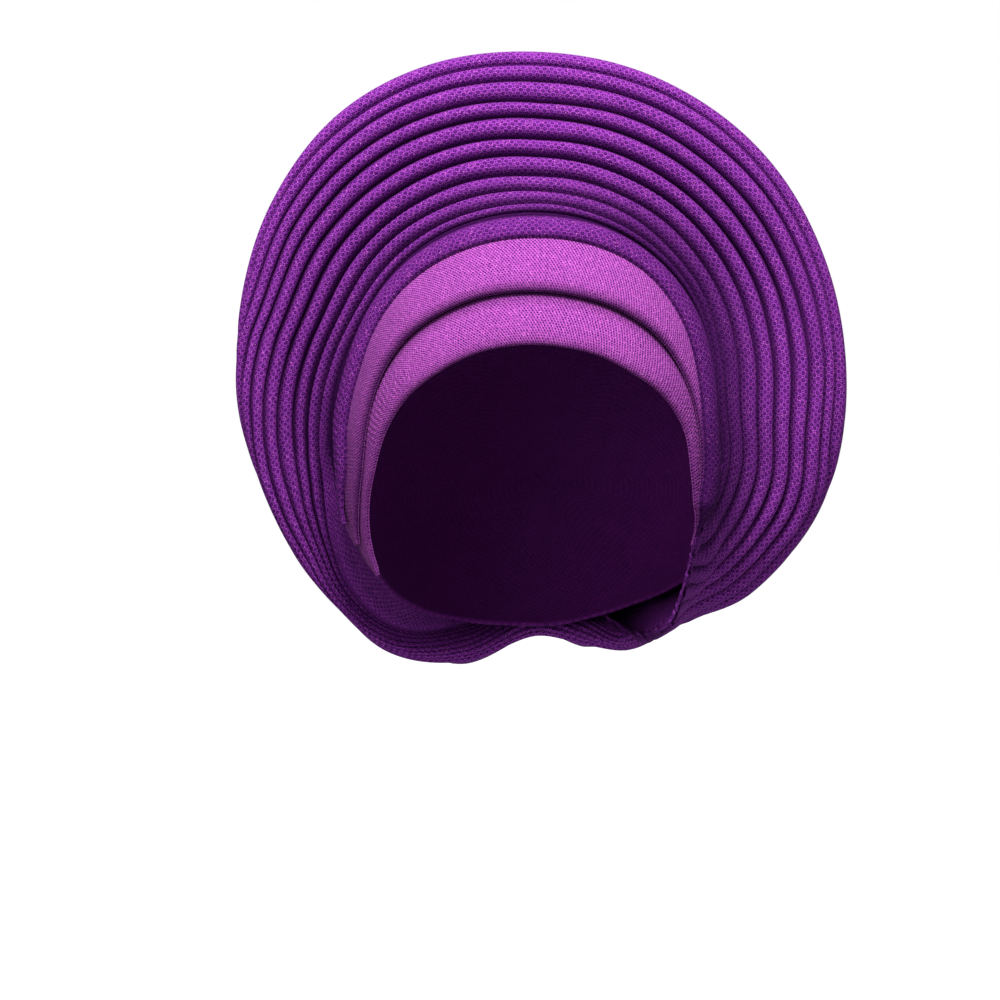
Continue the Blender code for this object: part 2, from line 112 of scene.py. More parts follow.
def buildSkin(name, grid, uvNear, uvFar, closedRows, paintedShade):
    # one closed skin from a grid whose columns go all round the cloth's section (front, edge, back);
    # uvNear and uvFar are the cloth places of the near and the far side of each quad of a row;
    # where the rows don't close round, one face closes each end
    rows, columns, _ = grid.shape
    i = np.arange(rows if closedRows else rows - 1)[:, None]
    j = np.arange(columns)[None, :]
    after = (i + 1) % rows
    beside = (j + 1) % columns
    here = i * columns
    ahead = after * columns
    quads = np.stack([here + j, here + beside, ahead + beside, ahead + j], axis=-1)
    corners = np.stack([uvNear[:-1], uvFar[:-1], uvFar[1:], uvNear[1:]], axis=2)
    faces = quads.reshape(-1, 4)
    cornerUv = corners.reshape(-1, 2)
    loops = faces.ravel()
    starts = np.arange(len(faces)) * 4
    if not closedRows:
        for cap in (np.arange(columns)[::-1], np.arange(columns) + (rows - 1) * columns):
            starts = np.append(starts, len(loops))
            loops = np.concatenate([loops, cap])
            cornerUv = np.concatenate([cornerUv, np.zeros((columns, 2))])
    mesh = bpy.data.meshes.new(name)
    mesh.vertices.add(rows * columns)
    mesh.vertices.foreach_set("co", (grid.reshape(-1, 3) * mm).ravel())
    mesh.loops.add(len(loops))
    mesh.loops.foreach_set("vertex_index", loops.astype(np.int32))
    mesh.polygons.add(len(starts))
    mesh.polygons.foreach_set("loop_start", starts.astype(np.int32))
    mesh.update(calc_edges=True)
    layer = mesh.uv_layers.new(name="cloth")
    layer.data.foreach_set("uv", (cornerUv * mm).astype(np.float32).ravel())
    # painted shade: each point's share of the deep colour, for creases, valleys and parts turned from
    # the light
    store = mesh.attributes.new("paintedShade", "FLOAT", "POINT")
    values = np.broadcast_to(paintedShade, (rows, columns)).astype(np.float32)
    store.data.foreach_set("value", values.ravel())
    mesh.validate()
    mesh.shade_smooth()
    item = bpy.data.objects.new(name, mesh)
    bpy.context.scene.collection.objects.link(item)
    return item


def doubledUv(u, v):
    # the back of the cloth has the front's places in the opposite order, and ends at the first
    u = np.concatenate([u, u[:, ::-1], u[:, :1]], axis=1)
    v = np.concatenate([v, v[:, ::-1], v[:, :1]], axis=1)
    uv = np.stack([u, v], axis=-1)
    return uv[:, :-1], uv[:, 1:]


def finishPiece(item, node, look):
    # the piece's cloth, body and CAD node, which is hidden, and its printed half surface; half surface =
    # sum of its faces / 2
    item.data.materials.append(clothMaterial(node + "Cloth", look))
    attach(item, "root")
    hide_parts(node)
    areas = np.zeros(len(item.data.polygons))
    item.data.polygons.foreach_get("area", areas)
    print("piece", item.name, "faces", len(areas), "half surface", round(float(areas.sum()) / 2, 4))
    return item


# knit shader groups
knitShape = {
    "warpScale": 330.0,         # noise that bends the rows, per metre
    "warpDetail": 1.5,
    "ringFade": (0.15, 0.60),   # where a ring's line starts and stops to fade, in ring radii
    "ringChange": 0.35,         # how much weaker a ring may be than the strongest
    "dotFade": (0.5, 1.3),      # the same for a dot, in dot radii
    "dotStrength": 0.9,
    "threadFade": (0.1, 0.34),  # the same for a thread, in lanes
    "threadHeight": 0.4,
    "glintFade": (0.2, 0.55),   # the same for a painted glint, in its cell
}
clothNoises = (                 # output, coordinates, scale, detail, noise that gives 0 and 1
    ("Cloud", "Object", 45.0, 3.0, 0.0, 1.0),
    ("Patches", "Object", 130.0, 2.0, 0.35, 0.65),
    ("Grain", "Object", 1000.0, 2.0, 0.34, 0.66),
    ("Worn", "Cloth", 650.0, 1.0, 0.3, 0.6))


def newGroup(name, inputs, outputs):
    # an empty shader group with its named sockets: inputs (label, kind, value), outputs (label, kind)
    group = bpy.data.node_groups.new(name, "ShaderNodeTree")
    for label, kind, value in inputs:
        socket = group.interface.new_socket(name=label, in_out="INPUT", socket_type=kind)
        if value is not None:
            socket.default_value = value
    for label, kind in outputs:
        group.interface.new_socket(name=label, in_out="OUTPUT", socket_type=kind)
    return group, group.nodes.new("NodeGroupInput"), group.nodes.new("NodeGroupOutput")


def mathNode(tree, operation, first, second=None, third=None):
    # operation(first, second, third), each a number or another node's output
    node = tree.nodes.new("ShaderNodeMath")
    node.operation = operation
    for socket, value in zip(node.inputs, (first, second, third)):
        if value is None:
            continue
        if isinstance(value, (int, float)):
            socket.default_value = value
        else:
            tree.links.new(value, socket)
    return node.outputs[0]


def vectorNode(tree, operation, first, second):
    # operation(first, second), each a tuple or another node's output
    node = tree.nodes.new("ShaderNodeVectorMath")
    node.operation = operation
    for socket, value in zip(node.inputs, (first, second)):
        if isinstance(value, tuple):
            socket.default_value = value
        else:
            tree.links.new(value, socket)
    return node.outputs[0]


def lengthNode(tree, x, y):
    # sqrt(x^2 + y^2)
    xSquare = mathNode(tree, "MULTIPLY", x, x)
    ySquare = mathNode(tree, "MULTIPLY", y, y)
    return mathNode(tree, "SQRT", mathNode(tree, "ADD", xSquare, ySquare))


def fadeNode(tree, distance, unit, near, far):
    # 1 nearer than near units, 0 beyond far units, smooth between
    node = tree.nodes.new("ShaderNodeMapRange")
    node.interpolation_type = "SMOOTHSTEP"
    tree.links.new(mathNode(tree, "DIVIDE", distance, unit), node.inputs["Value"])
    node.inputs["From Min"].default_value = near
    node.inputs["From Max"].default_value = far
    node.inputs["To Min"].default_value = 1.0
    node.inputs["To Max"].default_value = 0.0
    return node.outputs[0]


def rangeNode(tree, value, low, high):
    # 0 under low, 1 over high, straight between
    node = tree.nodes.new("ShaderNodeMapRange")
    tree.links.new(value, node.inputs["Value"])
    node.inputs["From Min"].default_value = low
    node.inputs["From Max"].default_value = high
    return node.outputs[0]


def noiseNode(tree, vector, scale, detail):
    # smooth noise from 0 to 1, scale bumps to the metre, finer by detail octaves
    node = tree.nodes.new("ShaderNodeTexNoise")
    node.inputs["Scale"].default_value = scale
    node.inputs["Detail"].default_value = detail
    tree.links.new(vector, node.inputs["Vector"])
    return node.outputs["Fac"]


def makeKnitGroup():
    # rows of small rings, every second row moved by the stagger, with a dot between two rings:
    # ring = |distance from the cell's middle - radius|, dot = distance from the cell's side;
    # light threads on both diagonals between them: |fract(lanes x -+ y / 2) - 1/2|, x and y in cells
    tree, start, end = newGroup(
        "knit",
        [("Vector", "NodeSocketVector", None), ("Pitch Along", "NodeSocketFloat", 0.0036),
         ("Pitch Across", "NodeSocketFloat", 0.0017), ("Ring Radius", "NodeSocketFloat", 0.0007),
         ("Dot Radius", "NodeSocketFloat", 0.0004), ("Stagger", "NodeSocketFloat", 0.5),
         ("Second Diagonal", "NodeSocketFloat", 1.0), ("Warp", "NodeSocketFloat", 0.0006)],
        [("Pit", "NodeSocketFloat"), ("Thread", "NodeSocketFloat"), ("Height", "NodeSocketFloat")])
    noise = tree.nodes.new("ShaderNodeTexNoise")
    noise.inputs["Scale"].default_value = knitShape["warpScale"]
    noise.inputs["Detail"].default_value = knitShape["warpDetail"]
    tree.links.new(start.outputs["Vector"], noise.inputs["Vector"])
    centred = vectorNode(tree, "SUBTRACT", noise.outputs["Color"], (0.5, 0.5, 0.5))
    scaled = tree.nodes.new("ShaderNodeVectorMath")
    scaled.operation = "SCALE"
    tree.links.new(centred, scaled.inputs[0])
    tree.links.new(start.outputs["Warp"], scaled.inputs["Scale"])
    warped = vectorNode(tree, "ADD", start.outputs["Vector"], scaled.outputs[0])
    parts = tree.nodes.new("ShaderNodeSeparateXYZ")
    tree.links.new(warped, parts.inputs[0])
    pitchAlong, pitchAcross = start.outputs["Pitch Along"], start.outputs["Pitch Across"]
    radius, dotRadius = start.outputs["Ring Radius"], start.outputs["Dot Radius"]
    x = mathNode(tree, "DIVIDE", parts.outputs["X"], pitchAlong)
    y = mathNode(tree, "DIVIDE", parts.outputs["Y"], pitchAcross)
    row = mathNode(tree, "FLOOR", y)
    odd = mathNode(tree, "FLOORED_MODULO", row, 2.0)
    shift = mathNode(tree, "MULTIPLY", odd, start.outputs["Stagger"])
    along = mathNode(tree, "ADD", x, shift)
    cellX = mathNode(tree, "SUBTRACT", mathNode(tree, "FRACT", along), 0.5)
    cellY = mathNode(tree, "SUBTRACT", mathNode(tree, "FRACT", y), 0.5)
    dx = mathNode(tree, "MULTIPLY", cellX, pitchAlong)
    dy = mathNode(tree, "MULTIPLY", cellY, pitchAcross)
    fromRing = mathNode(tree, "SUBTRACT", lengthNode(tree, dx, dy), radius)
    ring = fadeNode(tree, mathNode(tree, "ABSOLUTE", fromRing), radius, *knitShape["ringFade"])
    halfPitch = mathNode(tree, "MULTIPLY", pitchAlong, 0.5)
    side = mathNode(tree, "SUBTRACT", halfPitch, mathNode(tree, "ABSOLUTE", dx))
    dot = fadeNode(tree, lengthNode(tree, side, dy), dotRadius, *knitShape["dotFade"])
    cell = tree.nodes.new("ShaderNodeCombineXYZ")
    tree.links.new(mathNode(tree, "FLOOR", along), cell.inputs["X"])
    tree.links.new(row, cell.inputs["Y"])
    random = tree.nodes.new("ShaderNodeTexWhiteNoise")
    random.noise_dimensions = "2D"
    tree.links.new(cell.outputs[0], random.inputs["Vector"])
    change = knitShape["ringChange"]
    strong = mathNode(tree, "MULTIPLY_ADD", random.outputs["Value"], change, 1.0 - change)
    ringPit = mathNode(tree, "MULTIPLY", ring, strong)
    dotPit = mathNode(tree, "MULTIPLY", dot, knitShape["dotStrength"])
    pit = mathNode(tree, "MAXIMUM", ringPit, dotPit)
    lanes = mathNode(tree, "DIVIDE", 0.5, start.outputs["Stagger"])
    laneX = mathNode(tree, "MULTIPLY", mathNode(tree, "SUBTRACT", x, 0.5), lanes)
    laneY = mathNode(tree, "MULTIPLY_ADD", y, 0.5, -0.25)
    diagonals = []
    for way in ("SUBTRACT", "ADD"):
        lane = mathNode(tree, "FRACT", mathNode(tree, way, laneX, laneY))
        away = mathNode(tree, "ABSOLUTE", mathNode(tree, "SUBTRACT", lane, 0.5))
        diagonals.append(fadeNode(tree, away, 1.0, *knitShape["threadFade"]))
    second = mathNode(tree, "MULTIPLY", diagonals[1], start.outputs["Second Diagonal"])
    thread = mathNode(tree, "MAXIMUM", diagonals[0], second)
    tree.links.new(pit, end.inputs["Pit"])
    tree.links.new(thread, end.inputs["Thread"])
    tall = knitShape["threadHeight"]
    raised = mathNode(tree, "MULTIPLY_ADD", thread, tall, 1.0 - tall)
    tree.links.new(mathNode(tree, "SUBTRACT", raised, pit), end.inputs["Height"])
    return tree


def makeGlitterGlintGroup():
    # painted glints of the glitter threads: the few cells of a fine Voronoi whose random value is over
    # the cut, near their middle
    group, start, end = newGroup(
        "glitterGlints",
        [("Vector", "NodeSocketVector", None), ("Cells Per Metre", "NodeSocketFloat", 1600.0),
         ("Share", "NodeSocketFloat", 0.1)],
        [("Glint", "NodeSocketFloat"), ("Tint", "NodeSocketFloat")])
    voronoi = group.nodes.new("ShaderNodeTexVoronoi")
    group.links.new(start.outputs["Vector"], voronoi.inputs["Vector"])
    group.links.new(start.outputs["Cells Per Metre"], voronoi.inputs["Scale"])
    parts = group.nodes.new("ShaderNodeSeparateColor")
    group.links.new(voronoi.outputs["Color"], parts.inputs[0])
    cut = mathNode(group, "SUBTRACT", 1.0, start.outputs["Share"])
    chosen = mathNode(group, "GREATER_THAN", parts.outputs[0], cut)
    near = group.nodes.new("ShaderNodeMapRange")
    group.links.new(voronoi.outputs["Distance"], near.inputs["Value"])
    near.inputs["From Min"].default_value = knitShape["glintFade"][0]
    near.inputs["From Max"].default_value = knitShape["glintFade"][1]
    near.inputs["To Min"].default_value = 1.0
    near.inputs["To Max"].default_value = 0.0
    group.links.new(mathNode(group, "MULTIPLY", chosen, near.outputs[0]), end.inputs["Glint"])
    group.links.new(parts.outputs[1], end.inputs["Tint"])
    return group


def makeGrainGroup():
    # the cloth's four noises, each stretched so that its two given values become 0 and 1
    group, start, end = newGroup(
        "grain",
        [("Object", "NodeSocketVector", None), ("Cloth", "NodeSocketVector", None)],
        [(label, "NodeSocketFloat") for label, *_ in clothNoises])
    for label, place, scale, detail, low, high in clothNoises:
        noise = noiseNode(group, start.outputs[place], scale, detail)
        group.links.new(rangeNode(group, noise, low, high), end.inputs[label])
    return group


knitGroup = makeKnitGroup()
glitterGlintGroup = makeGlitterGlintGroup()
grainGroup = makeGrainGroup()


def mixColour(tree, share, first, second):
    # first * (1 - share) + second * share; the colours are tuples or other nodes' outputs
    node = tree.nodes.new("ShaderNodeMix")
    node.data_type = "RGBA"
    tree.links.new(share, node.inputs["Factor"])
    for socket, value in ((node.inputs[6], first), (node.inputs[7], second)):
        if isinstance(value, tuple):
            socket.default_value = (*value, 1.0)
        else:
            tree.links.new(value, socket)
    return node.outputs[2]


def clothMaterial(name, look):
    # knit colour: clouded base, grain of lit and shaded fibres, light threads on the diagonals, dark
    # rings and dots, painted glints of the glitter threads, then the painted shade of the creases,
    # valleys and turned-away parts; each step is a mix by its mask * its strength
    material = bpy.data.materials.new(name)
    material.use_nodes = True
    tree = material.node_tree
    shader = tree.nodes["Principled BSDF"]
    place = tree.nodes.new("ShaderNodeUVMap")
    place.uv_map = "cloth"
    where = tree.nodes.new("ShaderNodeTexCoord")
    knit = tree.nodes.new("ShaderNodeGroup")
    knit.node_tree = knitGroup
    tree.links.new(place.outputs[0], knit.inputs["Vector"])
    knit.inputs["Pitch Along"].default_value = look["pitchAlong"] * mm
    knit.inputs["Pitch Across"].default_value = look["pitchAcross"] * mm
    knit.inputs["Ring Radius"].default_value = look["ringRadius"] * mm
    knit.inputs["Dot Radius"].default_value = look["dotRadius"] * mm
    knit.inputs["Stagger"].default_value = look["stagger"]
    knit.inputs["Second Diagonal"].default_value = look["secondDiagonal"]
    glitterGlints = tree.nodes.new("ShaderNodeGroup")
    glitterGlints.node_tree = glitterGlintGroup
    tree.links.new(place.outputs[0], glitterGlints.inputs["Vector"])
    glitterGlints.inputs["Share"].default_value = look["glitterGlints"]
    noises = tree.nodes.new("ShaderNodeGroup")
    noises.node_tree = grainGroup
    tree.links.new(where.outputs["Object"], noises.inputs["Object"])
    tree.links.new(place.outputs[0], noises.inputs["Cloth"])
    grain = noises.outputs["Grain"]
    clouds = mathNode(tree, "MULTIPLY", noises.outputs["Cloud"], look["clouding"])
    colour = mixColour(tree, clouds, look["base"], look["light"])
    colour = mixColour(tree, mathNode(tree, "MULTIPLY", grain, look["grain"]), colour, look["light"])
    shaded = mathNode(tree, "SUBTRACT", 1.0, grain)
    shaded = mathNode(tree, "MULTIPLY", shaded, look["grain"] * look["grainShade"])
    colour = mixColour(tree, shaded, colour, look["dark"])
    kept = mathNode(tree, "MULTIPLY_ADD", noises.outputs["Worn"], look["wear"], 1.0 - look["wear"])
    threads = mathNode(tree, "MULTIPLY", knit.outputs["Thread"], kept)
    threads = mathNode(tree, "MULTIPLY", threads, look["thread"])
    colour = mixColour(tree, threads, colour, look["light"])
    patchy = look["patchy"]
    clear = mathNode(tree, "MULTIPLY_ADD", noises.outputs["Patches"], patchy, 1.0 - patchy)
    pits = mathNode(tree, "MULTIPLY", knit.outputs["Pit"], clear)
    pits = mathNode(tree, "MULTIPLY", pits, look["pitShade"])
    colour = mixColour(tree, pits, colour, look["dark"])
    # painted glints: bright pink spots mixed into the colour where the glitter threads would catch the
    # light
    glint = mixColour(tree, glitterGlints.outputs["Tint"], look["glintOne"], look["glintTwo"])
    glints = mathNode(tree, "MULTIPLY", glitterGlints.outputs["Glint"], look["glintStrength"])
    colour = mixColour(tree, glints, colour, glint)
    # painted shade: the point's stored shade * creaseShade mixes the colour towards the deep colour
    paintedShade = tree.nodes.new("ShaderNodeAttribute")
    paintedShade.attribute_name = "paintedShade"
    creased = mathNode(tree, "MULTIPLY", paintedShade.outputs["Fac"], look["creaseShade"])
    colour = mixColour(tree, creased, colour, look["deep"])
    tree.links.new(colour, shader.inputs["Base Color"])
    bump = tree.nodes.new("ShaderNodeBump")
    bump.inputs["Strength"].default_value = look["bump"]
    bump.inputs["Distance"].default_value = look["pitDepth"] * mm
    height = mathNode(tree, "MULTIPLY_ADD", grain, look["grainHeight"], knit.outputs["Height"])
    tree.links.new(height, bump.inputs["Height"])
    tree.links.new(bump.outputs[0], shader.inputs["Normal"])
    shader.inputs["Roughness"].default_value = look["roughness"]
    shader.inputs["Specular IOR Level"].default_value = look["specular"]
    shader.inputs["Sheen Weight"].default_value = look["sheen"]
    shader.inputs["Sheen Roughness"].default_value = look["sheenRoughness"]
    shader.inputs["Sheen Tint"].default_value = (*look["sheenTint"], 1.0)
    return material


pleatLook = {
    # deep is the colour of the painted shade; glintOne and glintTwo are the colours of the painted
    # glints
    "base": (0.115, 0.008, 0.205), "light": (0.420, 0.066, 0.560), "dark": (0.018, 0.0008, 0.042),
    "deep": (0.016, 0.0003, 0.030), "glintOne": (0.90, 0.26, 0.85), "glintTwo": (0.60, 0.05, 0.45),
    "sheenTint": (0.85, 0.50, 0.95),
    # pitches, radii and depth in millimetres, the stagger in cells, the rest strengths from 0 to 1
    "pitchAlong": 2.9, "pitchAcross": 1.4, "ringRadius": 0.58, "dotRadius": 0.34, "stagger": 0.5,
    "secondDiagonal": 1.0, "pitShade": 0.92, "pitDepth": 0.35, "bump": 0.6,
    "clouding": 0.22, "grain": 0.26, "grainShade": 0.8, "grainHeight": 0.6, "thread": 0.75,
    "wear": 0.5, "patchy": 0.25, "glitterGlints": 0.13, "glintStrength": 0.75, "creaseShade": 0.97,
    "roughness": 0.75, "specular": 0.05, "sheen": 0.0, "sheenRoughness": 0.4,
}
# bands: their own flatter, diagonal knit, and lighter, pinker colours and more glints than the pleats:
# painted light on the bands, which face up to the light
litBandLook = dict(pleatLook, base=(0.170, 0.011, 0.225), light=(0.600, 0.130, 0.580),
                dark=(0.035, 0.0015, 0.075), pitchAlong=2.6, pitchAcross=1.1, ringRadius=0.25,
                dotRadius=0.42, stagger=0.25, secondDiagonal=0.3, pitShade=1.0,
                glitterGlints=0.16, glintStrength=0.8, sheen=0.05)
# fold and bonnet: the pleats' cloth in darker colours with fewer glints: painted shade of the fold deep
# in the valley and of the bonnet under the bands
shadedFoldLook = dict(pleatLook, base=(0.090, 0.006, 0.160), light=(0.310, 0.045, 0.410))
shadedCapLook = dict(pleatLook, base=(0.100, 0.005, 0.140), light=(0.210, 0.025, 0.250), pitShade=0.8,
               glitterGlints=0.02, glintStrength=0.3, bump=0.4, thread=0.4)


# pleated fan
fan = {
    "columns": ("angle", "edgeR", "edgeY", "rimR", "rimY", "width", "turnedIn", "close"),
    "sections": (
        (-90, 88.0, 88.0, 111.0, 68.0, 26.0, 0.0, -0.60),
        (-80, 98.0, 77.0, 116.0, 57.0, 23.0, 0.0, -0.50),
        (-73, 111.5, 46.0, 120.5, 41.0, 21.0, 3.0, -0.35),
        (-68, 118.0, -4.0, 122.5, 24.0, 38.0, 22.0, 0.0),
        (-64, 116.5, -34.0, 122.8, 17.0, 42.0, 25.0, 0.20),
        (-60, 109.5, -46.0, 122.5, 12.0, 43.5, 22.0, 0.20),
        (-50, 93.2, -56.5, 126.0, 2.0, 46.0, 6.7, 0.30),
        (-40, 86.0, -57.0, 127.5, -3.0, 49.5, 1.5, 0.35),
        (-30, 79.5, -54.5, 127.5, -7.0, 57.0, 0.0, 0.35),
        (-15, 69.5, -52.0, 125.0, -11.0, 59.0, 0.0, 0.35),
        (0, 65.6, -46.0, 122.8, -14.0, 60.0, 0.0, 0.35),
        (20, 62.8, -41.0, 122.0, -17.0, 61.5, 0.0, 0.35),
        (40, 59.6, -43.5, 122.6, -19.0, 65.0, 0.0, 0.35),
        (65, 57.2, -48.0, 123.0, -20.0, 68.0, 0.0, 0.35),
        (90, 56.8, -49.0, 124.0, -20.0, 69.5, 0.0, 0.35),
        (110, 58.8, -45.5, 127.0, -19.0, 70.5, 0.0, 0.35),
        (130, 62.8, -37.0, 128.5, -18.0, 68.0, 0.0, 0.35),
        (150, 67.6, -27.5, 126.5, -16.0, 62.0, 0.0, 0.35),
        (170, 73.2, -19.0, 124.2, -12.0, 55.5, 0.0, 0.35),
        (190, 83.6, -9.0, 123.6, -6.0, 57.5, 0.0, 0.35),
        (200, 89.6, -4.0, 124.1, -1.0, 56.5, 0.0, 0.35),
        (210, 95.8, 0.0, 126.0, 4.0, 49.0, 0.0, 0.35),
        (220, 107.2, 6.0, 129.0, 12.0, 34.0, 0.0, 0.25),
        (230, 118.0, 18.0, 131.5, 22.0, 25.0, 0.0, 0.20),
        (242, 121.0, 35.0, 132.8, 37.0, 20.0, 0.0, -0.20),
        (255, 108.0, 66.0, 124.5, 55.0, 22.0, 0.0, -0.60)),
    "creases": (                # angle, then the share of the width where each crease lies
        (-60, 0.030, 0.085, 0.205, 0.322, 0.447, 0.565, 0.675, 0.780, 0.875, 1.0),
        (-30, 0.030, 0.085, 0.190, 0.322, 0.447, 0.566, 0.672, 0.777, 0.870, 1.0),
        (0, 0.030, 0.082, 0.208, 0.340, 0.465, 0.590, 0.710, 0.822, 0.892, 1.0),
        (45, 0.050, 0.118, 0.225, 0.345, 0.462, 0.588, 0.692, 0.810, 0.897, 1.0),
        (90, 0.052, 0.137, 0.230, 0.353, 0.454, 0.583, 0.674, 0.798, 0.896, 1.0),
        (130, 0.065, 0.155, 0.260, 0.380, 0.495, 0.612, 0.715, 0.815, 0.897, 1.0),
        (175, 0.092, 0.203, 0.322, 0.462, 0.580, 0.692, 0.770, 0.860, 0.925, 1.0),
        (200, 0.090, 0.193, 0.296, 0.419, 0.515, 0.607, 0.690, 0.800, 0.895, 1.0),
        (212, 0.125, 0.248, 0.345, 0.437, 0.545, 0.640, 0.730, 0.825, 0.912, 1.0)),
    "rollHeight": 4.2,          # most that a roll stands over its creases
    "rollSlenderness": 0.60,    # height of a narrow roll as a share of its width
    "swell": 0.10,              # share by which that height changes along the roll
    # one value for each pleat, inner to outer
    "fullness": (0.55, 0.70, 0.80, 0.92, 1.0, 1.0, 1.0, 1.0, 0.95, 0.9),
    "creaseDepth": (2.0, 2.0, 2.2, 2.2, 2.2, 2.0, 1.8, 1.3, 1.0, 0.8),
    # creaseDark, shadeReach and valleyShade are painted shade: how dark each crease is painted, how far
    # up the roll that shade reaches, and the shade painted over the inner pleats deep in the valley
    "creaseDark": (1.0, 1.0, 1.0, 1.0, 0.95, 0.9, 0.75, 0.55, 0.5, 0.4),
    "shadeReach": (0.6, 0.5, 0.45, 0.38, 0.3, 0.3, 0.3, 0.25, 0.25, 0.25),      # share of the width
    "valleyShade": (0.34, 0.30, 0.22, 0.12, 0.05, 0.0, 0.0, 0.0, 0.0, 0.0),
    # angle, then the factor on the painted valley shade there, and the painted shade that all pleats get
    # there
    "valleySide": (
        (-90, 1.0), (-60, 1.7), (0, 2.3), (45, 1.9), (90, 1.0), (150, 0.6), (212, 0.6), (270, 1.0)),
    "sideShade": ((-90, 0.0), (-50, 0.10), (0, 0.16), (40, 0.12), (80, 0.0), (270, 0.0)),
    "creaseReach": 0.25,        # how far a crease's cut reaches, as a share of the roll's width
    "crestAt": 0.56,            # where the top of a roll lies, as a share of its width
    "edgeHeight": 0.20,         # share of a roll's height left where it goes over the turned-in edge
    "turnedSeen": 5.0,          # how far the turned-in cloth goes back before it is cut off
    "opens": (202.0, 212.0),    # angles between which the innermost pleat opens into smooth cloth
    # angle, then how far the cloth runs on inwards over the bonnet there, and how fast it sinks
    "inward": ((196, 0.0), (208, 9.0), (220, 12.0), (234, 11.0), (246, 6.0), (254, 0.0)),
    "inwardDrop": 0.8,
    "wobble": 0.35,             # how far a crease wanders
    "valley": 10.0,             # how deep the pleats lie in behind the line from edge to rim
    "turnRadius": 4.0,          # how round the cloth turns at the inner edge and at the rim
    "hem": 6.0,                 # the longest hem at the inner edge
    "hemParts": (1.0, 0.6, 0.25),
    "backHeight": 0.75,         # height of the rolls on the back wall, as a share
    "thickness": 2.0,
    "rows": 570,
    "perRoll": 12,
    "flat": (0.115, 0.62),
}


def fanColumn(name, at):
    # one column of the sections at any angle, a smooth curve that closes round the circle
    table = np.array(fan["sections"], float)
    values = table[:, fan["columns"].index(name)]
    angles = table[:, 0]
    return through(np.concatenate([angles - 360, angles, angles + 360]), np.tile(values, 3), at)


def ramp(distance):
    # zero before a turn and the distance after it, round between: (d + sqrt(d^2 + radius^2)) / 2
    return (distance + np.sqrt(distance**2 + fan["turnRadius"] ** 2)) / 2


def fanPlain(angle, along):
    # section of the plain cloth: straight from the inner edge to the rim plus a valley of
    # depth * 27/4 * s (1 - s)^2, s the share of the way, and turned back by the ramps beyond each
    edgeR, edgeY = fanColumn("edgeR", angle), fanColumn("edgeY", angle)
    rimR, rimY = fanColumn("rimR", angle), fanColumn("rimY", angle)
    out = along - fanColumn("turnedIn", angle)
    spread = rimR - edgeR
    inside, behind = ramp(-out), ramp(out - spread)
    share = np.clip(out / spread, 0.0, 1.0)
    flare = 0.3 * np.cos(np.radians(angle))
    r = edgeR + out + (1 + flare) * inside - (1 + fanColumn("close", angle)) * behind
    y = edgeY + (rimY - edgeY) * share + fan["valley"] * 27 / 4 * share * (1 - share) ** 2
    return r, y + inside + behind


def haloPoint(angle, r, y):
    # polar section of the halo: x = r cos(angle), z = centre + r sin(angle)
    x = fanCentre[0] + r * np.cos(np.radians(angle))
    z = fanCentre[1] + r * np.sin(np.radians(angle))
    return np.stack(np.broadcast_arrays(x, y, z), axis=-1)


def fanSurface(angle, along, height):
    # the plain section moved by height * (dy, -dr) / |(dr, dy)|, square to itself, and then by what
    # keeps the plain cloth clear of the bonnet
    r, y = fanPlain(angle, along)
    rNext, yNext = fanPlain(angle, along + 0.05)
    rBack, yBack = fanPlain(angle, along - 0.05)
    by = height / np.hypot(rNext - rBack, yNext - yBack)
    plain = haloPoint(angle, r, y)
    raised = haloPoint(angle, r + by * (yNext - yBack), y - by * (rNext - rBack))
    lift = np.interp(plain[..., 1], (0.0, 30.0), (2.9, 5.2))
    return raised + clearOfBlock(plain, lift) - plain


def fanCreases(angle):
    # shares of the width where the creases lie: straight between the table's angles, and the
    # table's mean at -90 and 270; the first crease is the inner edge, 0
    table = np.array(fan["creases"], float)
    below = table[:, 1:].mean(axis=0)
    places = [-90.0, *table[:, 0], 270.0]
    creases = [np.zeros_like(angle)]
    for k, atEnds in enumerate(below):
        creases.append(np.interp(angle, places, [atEnds, *table[:, k + 1], atEnds]))
    return np.stack(creases, axis=-1)


